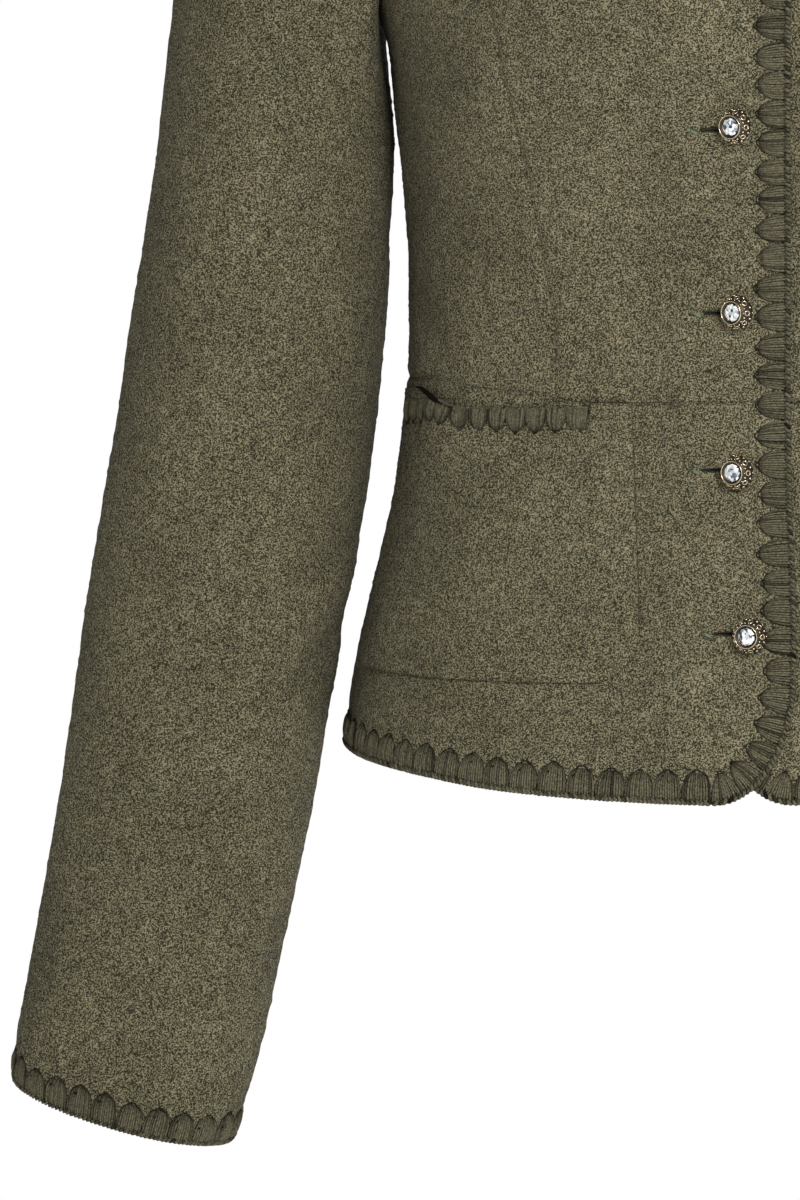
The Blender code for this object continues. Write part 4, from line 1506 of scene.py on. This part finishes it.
        # The alternating and random tone is the yarn's own; lighter on each knot's swell and darker between
        # the knots is painted highlight and shade
        in_turn = np.cos(math.pi * np.arange(count))[:, None]
        tone = 0.84 + random.normal(0, 0.22, (count, 1)) + 0.2 * in_turn
        shades = np.clip(tone * (0.62 + 0.52 * bulge), 0.04, 1.4)
        return self.run.at(along, depth, up), radii, np.broadcast_to(shades, along.shape)

    def cores(self) -> tuple:
        """Fillings inside the rope and under the roots of the strands, dark as painted shade in the gaps
        between stitches and strands.

        Returns:
            Paths, radii and shades by filling and step.
        """
        over, steps = self.core_overhang, max(12, int(self.run.length / 3))
        along = np.linspace(-over, self.run.length + over, steps)[None]
        in_rope = (-self.rope_out, self.rope_up, self.rope_radius - 0.22)
        under_roots = (-0.1, -0.6, 0.9)
        paths, radii = [], []
        for depth, up, radius in (in_rope, under_roots):
            paths.append(self.run.at(along, np.full(along.shape, depth), np.full(along.shape, up))[0])
            radii.append(np.full(along.shape[1], radius))
            radii[-1][[0, -1]] = 0.0
        return np.array(paths), np.array(radii), np.full((2, along.shape[1]), self.core_shade)

    def hollow(self) -> tuple:
        """A black strand that paints the shadow where the cloth stands open above the edging.

        Returns:
            Path, radii and shades by step.
        """
        along = np.linspace(0, self.gap.length, 12)[None]
        path = self.gap.at(along, np.full(along.shape, -0.6), np.full(along.shape, 0.35))
        radii = 1.15 * np.sin(np.linspace(0, math.pi, 12))[None] ** 0.7
        radii[:, [0, -1]] = 0.0
        return path, radii, np.full(along.shape, 0.0)

    def dress(self, material: bpy.types.Material) -> bpy.types.Object:
        """Builds the edging and gives it its finish.

        Args:
            material: The yarn's finish.

        Returns:
            The piece.
        """
        bm = bmesh.new()
        layer = bm.verts.layers.float.new("shade")
        groups = [(self.fans(), 5), (self.outlines(), 4), (self.rope(), 5), (self.cores(), 8)]
        if self.gap is not None:
            groups.append((self.hollow(), 8))
        for (paths, radii, shades), sides in groups:
            strands_into(bm, layer, paths * np.array([self.side, 1.0, 1.0]), radii, shades, sides)
        piece = finished(bm, f"{self.name}_yarn", outward=False)
        return seated(piece, material, Slot.YARN, self.name)


def strands_into(
    bm: bmesh.types.BMesh, layer: bmesh.types.BMLayerItem, paths: Grid, radii: Grid, shades: Grid, sides: int
) -> None:
    """Adds round strands along paths as one grid, cut apart between the strands.

    Args:
        bm: The mesh.
        layer: The vertex layer for the shade.
        paths: Points by strand and step.
        radii: Radius by strand and step, 0 at both ends.
        shades: Shade by strand and step.
        sides: How many sides a strand has.
    """
    count, steps = radii.shape
    ahead = unit(np.gradient(paths, axis=1))
    across = unit(np.cross(ahead, np.array([0.31, 0.22, 0.93])))
    other = np.cross(ahead, across)
    turn = np.linspace(0, 2 * math.pi, sides + 1)
    ring = np.cos(turn)[:, None] * across[:, :, None] + np.sin(turn)[:, None] * other[:, :, None]
    points = paths[:, :, None] + radii[:, :, None, None] * ring
    placed = grid_into(bm, points.reshape(count * steps, sides + 1, 3))
    flat = np.repeat(shades.reshape(-1), sides + 1).tolist()
    for vertex, shade in zip(placed, flat):
        vertex[layer] = shade
    bridges = set()
    for strand in range(1, count):
        first = strand * steps * (sides + 1)
        last = first - (sides + 1)
        for column in range(sides + 1):
            faces = set(placed[first + column].link_faces)
            bridges |= faces & set(placed[last + column].link_faces)
    bmesh.ops.delete(bm, geom=list(bridges), context="FACES")
    bmesh.ops.remove_doubles(bm, verts=placed, dist=WELD)


@dataclass
class Button:
    """A domed button with a bezel, beads and curls, and a crystal, leaning a little to one side.

    Profiles are rows of radius and height. Beads are rows of share of a turn, radius, height and
    size. Cuts of the crystal are rows of lower radius, upper radius, thickness and height.
    """

    number: int
    height: float
    across: float
    lean: float
    nod: float
    rise: float
    head_lift: float = 1.5
    head_slide: float = 1.5
    bead_count: int = 9
    head_scale: float = 1.09
    curl: tuple = (0.92, 0.27)
    curl_place: tuple = (5.75, 4.6)
    curl_slope: float = 58.0
    dome: tuple = (
        (0.0, 0.9), (4.4, 0.9), (6.2, 1.5), (6.6, 2.4), (6.3, 3.6), (5.5, 5.2), (4.6, 6.7), (3.9, 6.9),
        (3.7, 6.3), (0.0, 6.2),
    )
    bezel: tuple = (
        (4.4, 6.5), (4.58, 6.7), (4.64, 7.1), (4.54, 7.45), (4.38, 7.55), (4.24, 7.4), (4.2, 7.0),
        (4.26, 6.6), (4.4, 6.5),
    )
    shank: tuple = ((0.0, -4.6), (0.9, -4.6), (0.9, 2.0), (0.0, 2.0))
    beads: tuple = ((0.5, 5.25, 5.6, 0.42), (0.5, 6.3, 3.3, 0.5), (0, 4.95, 6.1, 0.3), (0, 6.5, 2.3, 0.35))
    cuts: tuple = ((3.4, 2.0, 0.9, 7.05), (3.0, 3.2, 0.3, 6.35))

    def frame_at(self) -> Matrix:
        """The button's place, with Z out of the cloth.

        Returns:
            The place as a matrix.
        """
        level = np.array(float(self.height))
        angle = FORM.angle_at(np.array(-float(self.across)), level)
        flip = np.array([-1.0, 1.0, 1.0])
        seat = FORM.lapped(angle, level) * flip
        normal = normals_of(FORM.base, angle, level) * flip
        place = to_metres(seat + 0.3 * normal)
        outward = Vector(normal.tolist())
        upward = (Vector((0, 0, 1)) - outward * outward.z).normalized()
        sideways = upward.cross(outward)
        turned = Matrix((sideways, upward, outward)).transposed().to_4x4()
        return Matrix.Translation(Vector(place.tolist())) @ turned

    def whirled(self, bm: bmesh.types.BMesh, geom: list, steps: int) -> None:
        """Turns geometry once round the axis."""
        axis, turn = (0, 0, 1), 2 * math.pi
        bmesh.ops.spin(bm, geom=geom, cent=(0, 0, 0), axis=axis, angle=turn, steps=steps, use_merge=True)

    def spun(self, profile: Sequence[tuple], steps: int) -> bmesh.types.BMesh:
        """Turns a profile round the button's axis.

        Args:
            profile: Rows of radius and height.
            steps: How many steps the turn has.

        Returns:
            The mesh.
        """
        bm = bmesh.new()
        chain = [bm.verts.new((radius * MM, 0, level * MM)) for radius, level in profile]
        edges = [bm.edges.new(pair) for pair in zip(chain[:-1], chain[1:])]
        self.whirled(bm, chain + edges, steps)
        bmesh.ops.remove_doubles(bm, verts=bm.verts[:], dist=1e-6)
        return bm

    def curled(self, bm: bmesh.types.BMesh, turn: float) -> None:
        """Adds a ring of wire on the dome's slope, as a curl.

        Args:
            bm: The mesh.
            turn: The curl's angle round the button, in radians.
        """
        middle, wire = self.curl
        out, level = self.curl_place
        slope = Matrix.Rotation(turn, 4, "Z") @ Matrix.Translation((out * MM, 0, level * MM))
        slope = slope @ Matrix.Rotation(math.radians(self.curl_slope), 4, "Y")
        upright = Matrix.Translation((middle * MM, 0, 0)) @ Matrix.Rotation(math.pi / 2, 4, "X")
        made = bmesh.ops.create_circle(bm, segments=6, radius=wire * MM, matrix=upright)
        edges = list({edge for vertex in made["verts"] for edge in vertex.link_edges})
        before = set(bm.verts) - set(made["verts"])
        self.whirled(bm, made["verts"] + edges, 12)
        ring = [vertex for vertex in bm.verts if vertex not in before]
        bmesh.ops.transform(bm, matrix=slope, verts=ring)

    def part(
        self, name: str, bm: bmesh.types.BMesh, place: Matrix, smooth_faces: bool = True
    ) -> bpy.types.Object:
        """Moves a part of the button into place.

        Args:
            name: The part's word in its name.
            bm: Its mesh, before it is moved.
            place: Where it goes.
            smooth_faces: Whether it is shaded softly.

        Returns:
            The part.
        """
        bmesh.ops.transform(bm, matrix=place, verts=bm.verts[:])
        made = finished(bm, f"button_{self.number}_{name}", outward=False)
        for face in made.data.polygons:
            face.use_smooth = smooth_faces
        return made

    def rim(self) -> bmesh.types.BMesh:
        """The bezel with its curls and beads.

        Returns:
            The mesh.
        """
        bm = self.spun(self.bezel, 48)
        for number in range(self.bead_count):
            turn = 2 * math.pi * number / self.bead_count
            self.curled(bm, turn)
            for share, radius, level, size in self.beads:
                angle = turn + share * 2 * math.pi / self.bead_count
                spot = (radius * MM * math.cos(angle), radius * MM * math.sin(angle), level * MM)
                bmesh.ops.create_icosphere(
                    bm, subdivisions=2, radius=size * MM, matrix=Matrix.Translation(spot)
                )
        return bm

    def stone(self) -> bmesh.types.BMesh:
        """The cut crystal.

        Returns:
            The mesh.
        """
        bm = bmesh.new()
        for lower, upper, thickness, level in self.cuts:
            bmesh.ops.create_cone(
                bm, cap_ends=True, segments=10, radius1=lower * MM, radius2=upper * MM,
                depth=thickness * MM, matrix=Matrix.Translation((0, 0, level * MM)),
            )
        return bm

    def dress(
        self, metal: bpy.types.Material, recess: bpy.types.Material, crystal: bpy.types.Material
    ) -> None:
        """Builds the button's parts.

        Args:
            metal: The finish of the bezel, its curls and beads, and of the shank.
            recess: The darker finish of the dome.
            crystal: The finish of the stone.
        """
        seat = self.frame_at()
        head = seat @ Matrix.Translation((self.head_slide * MM, self.rise * MM, self.head_lift * MM))
        head = head @ Matrix.Rotation(math.radians(-self.nod), 4, "X")
        head = head @ Matrix.Rotation(math.radians(-self.lean), 4, "Y") @ Matrix.Scale(self.head_scale, 4)
        dome = self.part("dome", self.spun(self.dome, 40), head)
        seated(dome, recess, Slot.METAL, f"button_{self.number}")
        seated(self.part("bezel", self.rim(), head), metal, Slot.METAL)
        seated(self.part("crystal", self.stone(), head, False), crystal, Slot.METAL)
        seated(self.part("shank", self.spun(self.shank, 12), seat), metal, Slot.METAL)


@dataclass
class Buttonhole:
    """A worked buttonhole under a button: a slit, its thread and a bar at its far end.

    A stitch is rows of distance from the slit and height, and the bar's threads are rows of
    place along the slit, place across it and height.
    """

    button: Button
    length: float = 17.0
    width: float = 2.4
    taper: float = 0.12
    shift: float = -6.0
    stitches: int = 26
    stitch: tuple = ((0.0, -0.9), (0.1, 0.05), (0.35, 0.05), (0.8, -0.4))
    bar: tuple = ((0.0, -0.9, -0.3), (-0.15, -0.3, 0.45), (-0.1, 0.5, 0.5), (0.2, 1.2, -0.3))
    tail: tuple = ((-4.6, 0.0, 0.1), (-3.0, -0.6, 0.3), (-1.4, -1.3, 0.3), (0.4, -2.0, -0.3))
    tail_places: tuple = (-0.3, 0.1, 0.5)

    def cutter(self) -> bpy.types.Object:
        """The slit's cutter.

        Returns:
            The cutter.
        """
        bm = bmesh.new()
        bmesh.ops.create_cube(bm, size=1.0)
        bmesh.ops.scale(bm, vec=(self.length * MM, self.width * MM, 12 * MM), verts=bm.verts[:])
        for vertex in bm.verts:
            if vertex.co.x < 0:
                vertex.co.y *= self.taper
        bmesh.ops.translate(bm, vec=(self.shift * MM, 0, 0), verts=bm.verts[:])
        bmesh.ops.transform(bm, matrix=self.button.frame_at(), verts=bm.verts[:])
        return finished(bm, f"slit_{self.button.number}")

    def stitch_paths(self, start: float) -> list:
        """Paths of the stitches along both sides of the slit.

        Args:
            start: Where the slit starts along its length.

        Returns:
            One path of four points a stitch.
        """
        at = np.linspace(start + 0.6, start + self.length * 0.72, self.stitches)
        paths = []
        for sign in (-1, 1):
            for x in at:
                open_share = self.taper + (1 - self.taper) * (x - start) / self.length
                gap = self.width / 2 * open_share - 0.15
                paths.append([(x, sign * (gap + out), up) for out, up in self.stitch])
        return paths

    def bar_paths(self, start: float) -> list:
        """Paths of the bar at the slit's far end and of the threads that tie it.

        Args:
            start: Where the slit starts along its length.

        Returns:
            One path of four points a thread.
        """
        paths = []
        for x in np.linspace(start - 4.9, start - 3.9, 4):
            paths.append([(x + along, across, up) for along, across, up in self.bar])
        for rise in self.tail_places:
            paths.append([(start + along, rise + across, up) for along, across, up in self.tail])
        return paths

    def thread(self, material: bpy.types.Material) -> bpy.types.Object:
        """The stitches along the slit and the bar at its far end.

        Args:
            material: The thread's finish.

        Returns:
            The piece.
        """
        bm = bmesh.new()
        layer = bm.verts.layers.float.new("shade")
        start = self.shift - self.length / 2
        worked, bars = self.stitch_paths(start), self.bar_paths(start)
        # Stitches take the near black end as painted shade of the slit; the bar's threads are pale green
        shades = np.concatenate([np.full((len(worked), 4), 0.0), np.full((len(bars), 4), 1.0)])
        paths = np.array(worked + bars)
        place = np.array(self.button.frame_at())
        world = paths @ place[:3, :3].T + place[:3, 3] / MM + np.array([0, 0, HOLD_HEIGHT])
        radii = np.tile([0.0, 0.24, 0.24, 0.0], (len(paths), 1))
        strands_into(bm, layer, world, radii, shades, 5)
        piece = finished(bm, f"buttonhole_thread_{self.button.number}", outward=False)
        return seated(piece, material, Slot.YARN)


@dataclass
class Jacket:
    """The whole jacket."""

    wool: bpy.types.Material
    yarn: bpy.types.Material
    thread: bpy.types.Material
    metal: bpy.types.Material
    recess: bpy.types.Material
    crystal: bpy.types.Material
    panels: list = field(default_factory=list)
    pieces: dict = field(default_factory=dict)

    def panel(self, made: ClothPanel) -> None:
        """Dresses a panel and keeps it by its node's name."""
        self.panels.append(made)
        self.pieces[made.name] = made.dress(self.wool)

    def trim(self, made: Edging) -> None:
        """Dresses an edging and keeps it by its node's name."""
        self.pieces[made.name] = made.dress(self.yarn)

    def declare(self) -> None:
        """Gathers what every panel hangs from and what is sewn on it, and hands them to the panel's declare,
        which does nothing with them.
        """
        seams = {"back": ("neck",), "peplum_back": ("hem",)}
        above = {"peplum_back": ("back",)}
        for side in Side:
            word = side.word
            front, pocket = f"front_{word}", f"pocket_{word}"
            seams |= {front: (front,), f"sleeve_{word}": (f"cuff_{word}",), pocket: (pocket,)}
            above |= {
                pocket: (f"peplum_front_{word}",), f"peplum_front_{word}": (front, f"side_front_{word}"),
                f"sleeve_{word}": (front, "back"), f"side_front_{word}": (front,),
                f"side_back_{word}": ("back",),
            }
        for made in self.panels:
            trims = [self.pieces[f"edging_{name}"] for name in seams.get(made.name, ())]
            made.declare(above.get(made.name, ()), trims)

    def bodice(self) -> None:
        """Builds the fronts, the side panels and the back."""
        seam_front = FORM.long_seam(FRONT_SEAM, False, ARMHOLE_FRONT)
        seam_back = FORM.long_seam(BACK_SEAM, True, ARMHOLE_BACK)
        edges = (("front", seam_front, ARMHOLE_FRONT), ("back", seam_back, ARMHOLE_BACK))
        sides = ("last_row", "first_row", "last_column")
        for side in Side:
            surface = FORM.lapped if side.on_top else FORM.base
            edge = FORM.front_edge(side.on_top, 3, FORM.fine_turns())
            coarse = FORM.between(edge, seam_front, FORM.front_shares(edge, seam_front))
            places = refined(coarse, FORM.row_steps(9), graded(coarse.shape[1] - 1, 6))
            self.panel(ClothPanel(f"front_{side.word}", surface, places, side.value, sides, 11))
            for word, seam, armhole in edges:
                coarse = FORM.side_panel(seam, armhole)
                places = refined(coarse, graded(12, 9), graded(6, 5))
                self.panel(ClothPanel(f"side_{word}_{side.word}", FORM.base, places, side.value, seed=12))
        half = FORM.between(FORM.back_centre(), seam_back, np.linspace(0, 1, 7))
        places = refined(half, FORM.row_steps(8), graded(6, 8))
        self.panel(ClothPanel("back", FORM.base, places, 1, sides, 14, doubled=True))

    def peplum(self) -> None:
        """Builds the peplum and its pockets."""
        for side in Side:
            surface = FORM.lapped if side.on_top else FORM.base
            places = FORM.peplum_front(side.on_top)
            seams = ("last_row", "last_column")
            self.panel(ClothPanel(f"peplum_front_{side.word}", surface, places, side.value, seams, 15))
            seams = ("first_row", "first_column", "last_column")
            places = FORM.pocket_places()
            self.panel(ClothPanel(f"pocket_{side.word}", FORM.pocket, places, side.value, seams, 16))
        seams = ("last_row", "first_column", "last_column")
        self.panel(ClothPanel("peplum_back", FORM.base, FORM.peplum_back(), 1, seams, 17))

    def sleeves(self) -> None:
        """Builds the sleeves and the edging of their cuffs."""
        for side in Side:
            nowhere = np.zeros((1, 1, 2))
            sleeve = SleevePanel(f"sleeve_{side.word}", FORM.base, nowhere, side.value, ("first_row",), 18)
            self.panel(sleeve)
            run = sleeve_run(sleeve)
            self.trim(Edging(
                f"edging_cuff_{side.word}", run, side.value, run.length / CUFF_SHELLS, arch=3.0,
                tip_width=0.42, rope_up=-0.5,
            ))

    def edgings(self) -> None:
        """Builds the edging of the fronts, the pockets, the neck and the hem."""
        for side in Side:
            surface = FORM.lapped if side.on_top else FORM.base
            bodice = FORM.front_edge(side.on_top, 12)
            edge = np.concatenate([FORM.peplum_edge(side.on_top, 20)[:-1], bodice])
            self.trim(Edging(f"edging_front_{side.word}", body_run(edge, surface, -1), side.value))
            rim, share = FORM.pocket_places()[-1], FORM.pocket_columns()
            # The gaping stretch of the pocket's rim, where a black strand paints the shadow of the opening
            gaping = (share > FORM.rise_start - 0.03) & (share < FORM.rise_end + 0.04)
            gap = body_run(rim[gaping], FORM.pocket, -1)
            line = rim[(share > FORM.step_share) & (share < FORM.shell_end)]
            line[:, 1] = np.minimum(line[:, 1], FORM.pocket_open_top + FORM.shell_rise)
            run = body_run(line, FORM.pocket, -1)
            self.trim(Edging(
                f"edging_pocket_{side.word}", run, side.value, 9.6, 8.6, 0.2, 2.6, rope_out=0.9, rope_up=-0.4,
                rope_radius=0.85, stitch_pitch=1.6, gap=gap, tone=0.9,
            ))
        front = np.array(FORM.neckline([0.0, *FORM.fine_turns()]))
        back = np.array(FORM.neckline([0.0, *FORM.fine_turns()], front=False))
        neck = np.concatenate([back[::-1], np.stack([360 - back[1:, 0], back[1:, 1]], axis=1)])
        hem = FORM.peplum_back()[0]
        first, last = FORM.peplum_front(True)[0], FORM.peplum_front(False)[0]
        run = body_run(self.round_back(front, neck, front), FORM.whole, 1)
        self.trim(Edging("edging_neck", run))
        run = body_run(self.round_back(first, hem, last), FORM.whole, -1)
        self.trim(Edging("edging_hem", run, arch=3.0, tip_width=0.42, rope_up=-0.3))

    def round_back(self, first: Grid, middle: Grid, last: Grid) -> Grid:
        """One line from the top front over the back to the other front.

        Args:
            first: The top front's line, from its edge.
            middle: The back's line.
            last: The other front's line, from its edge.

        Returns:
            The line's places.
        """
        start = first * np.array([-1.0, 1.0])
        turned = middle - np.array([360.0, 0.0])
        end = last[::-1] - np.array([360.0, 0.0])
        return np.concatenate([start[:-1], turned[::-1][:-1], end])

    def buttons(self) -> None:
        """Builds the buttons and cuts their holes."""
        for number, row in enumerate(BUTTONS, start=1):
            button = Button(number, *row)
            button.dress(self.metal, self.recess, self.crystal)
            hole = Buttonhole(button)
            hole.thread(self.thread)
            over_waist = button.height > WAIST[0, 1]
            panel = self.pieces["front_right" if over_waist else "peplum_front_right"]
            cutter = hole.cutter()
            slit = panel.modifiers.new("slit", "BOOLEAN")
            slit.operation, slit.solver, slit.object = "DIFFERENCE", "EXACT", cutter
            with bpy.context.temp_override(object=panel, active_object=panel):
                bpy.ops.object.modifier_apply(modifier=slit.name)
            bpy.data.objects.remove(cutter)

    def build(self) -> None:
        """Builds every piece."""
        self.bodice()
        self.peplum()
        self.sleeves()
        self.edgings()
        self.buttons()
        self.declare()


@dataclass(frozen=True)
class Studio:
    """A pale floor, soft lamps and the camera."""

    camera_at: tuple = (0.0, -3.008, -0.3124)
    aim: tuple = (-0.146, -0.008, -0.4414)
    lens: float = 209.3
    floor_level: float = -1.48
    floor_radius: float = 5.2

    def build(self) -> None:
        """Sets up the view."""
        scene = bpy.context.scene
        data = bpy.data.cameras.new("camera")
        data.lens = self.lens
        data.sensor_width = 36
        camera = bpy.data.objects.new("camera", data)
        scene.collection.objects.link(camera)
        camera.location = self.camera_at
        direction = Vector(self.aim) - Vector(self.camera_at)
        camera.rotation_euler = direction.to_track_quat("-Z", "Y").to_euler()
        scene.camera = camera
        self.lamp("key", (0.45, -1.5, 0.2), 0.6, 3.5, (0.12, -0.1, -0.38), 70)
        self.lamp("fill", (-0.7, -2.6, -0.5), 1.2, 6.4)
        self.lamp("rear", (0.2, 2.6, 0.9), 1.8, 55)
        self.world()
        self.floor()
        scene.view_settings.view_transform = "Standard"

    def lamp(
        self, name: str, place: tuple, size: float, power: float, aim: tuple | None = None,
        spread: float = 180,
    ) -> None:
        """One soft square lamp that faces the jacket, or the place given, over a spread in degrees.

        Args:
            name: The lamp's name.
            place: Where it stands.
            size: Its side.
            power: Its power in watts.
            aim: The place that it faces.
            spread: Its spread in degrees.
        """
        data = bpy.data.lights.new(name, "AREA")
        data.size, data.energy, data.spread = size, power, math.radians(spread)
        lamp = bpy.data.objects.new(name, data)
        bpy.context.scene.collection.objects.link(lamp)
        lamp.location = place
        lamp.rotation_euler = (Vector(aim or self.aim) - Vector(place)).to_track_quat("-Z", "Y").to_euler()

    def world(self) -> None:
        """White behind the jacket, and dimmer light from all round."""
        made = bpy.data.worlds.new("studio")
        made.use_nodes = True
        tree = made.node_tree
        seen, lit = tree.nodes["Background"], tree.nodes.new("ShaderNodeBackground")
        seen.inputs["Color"].default_value = (1, 1, 1, 1)
        seen.inputs["Strength"].default_value = 1.0
        lit.inputs["Color"].default_value = (1, 1, 1, 1)
        lit.inputs["Strength"].default_value = 0.27
        path, mix = tree.nodes.new("ShaderNodeLightPath"), tree.nodes.new("ShaderNodeMixShader")
        tree.links.new(path.outputs["Is Camera Ray"], mix.inputs[0])
        tree.links.new(lit.outputs[0], mix.inputs[1])
        tree.links.new(seen.outputs[0], mix.inputs[2])
        tree.links.new(mix.outputs[0], tree.nodes["World Output"].inputs["Surface"])
        bpy.context.scene.world = made

    def floor(self) -> None:
        """A pale disc below the jacket."""
        bm = bmesh.new()
        level = Matrix.Translation((0, 0, self.floor_level))
        bmesh.ops.create_circle(bm, cap_ends=True, segments=64, radius=self.floor_radius, matrix=level)
        disc = finished(bm, "floor", outward=False)
        disc.data.materials.append(PlainFinish("floor", (0.95, 0.95, 0.95), 0.9, glow=0.55).material())


def main() -> None:
    """Builds the jacket and its studio."""
    Jacket(
        WoolFinish("boiled_wool").material(),
        YarnFinish("crochet_yarn").material(),
        ThreadFinish("buttonhole_thread").material(),
        PlainFinish("antique_metal", (0.74, 0.62, 0.43), 0.26, 1.0).material(),
        PlainFinish("dark_metal", (0.055, 0.046, 0.034), 0.5, 0.8).material(),
        CrystalFinish("crystal").material(),
    ).build()
    Studio().build()


if __name__ == "__main__":
    main()
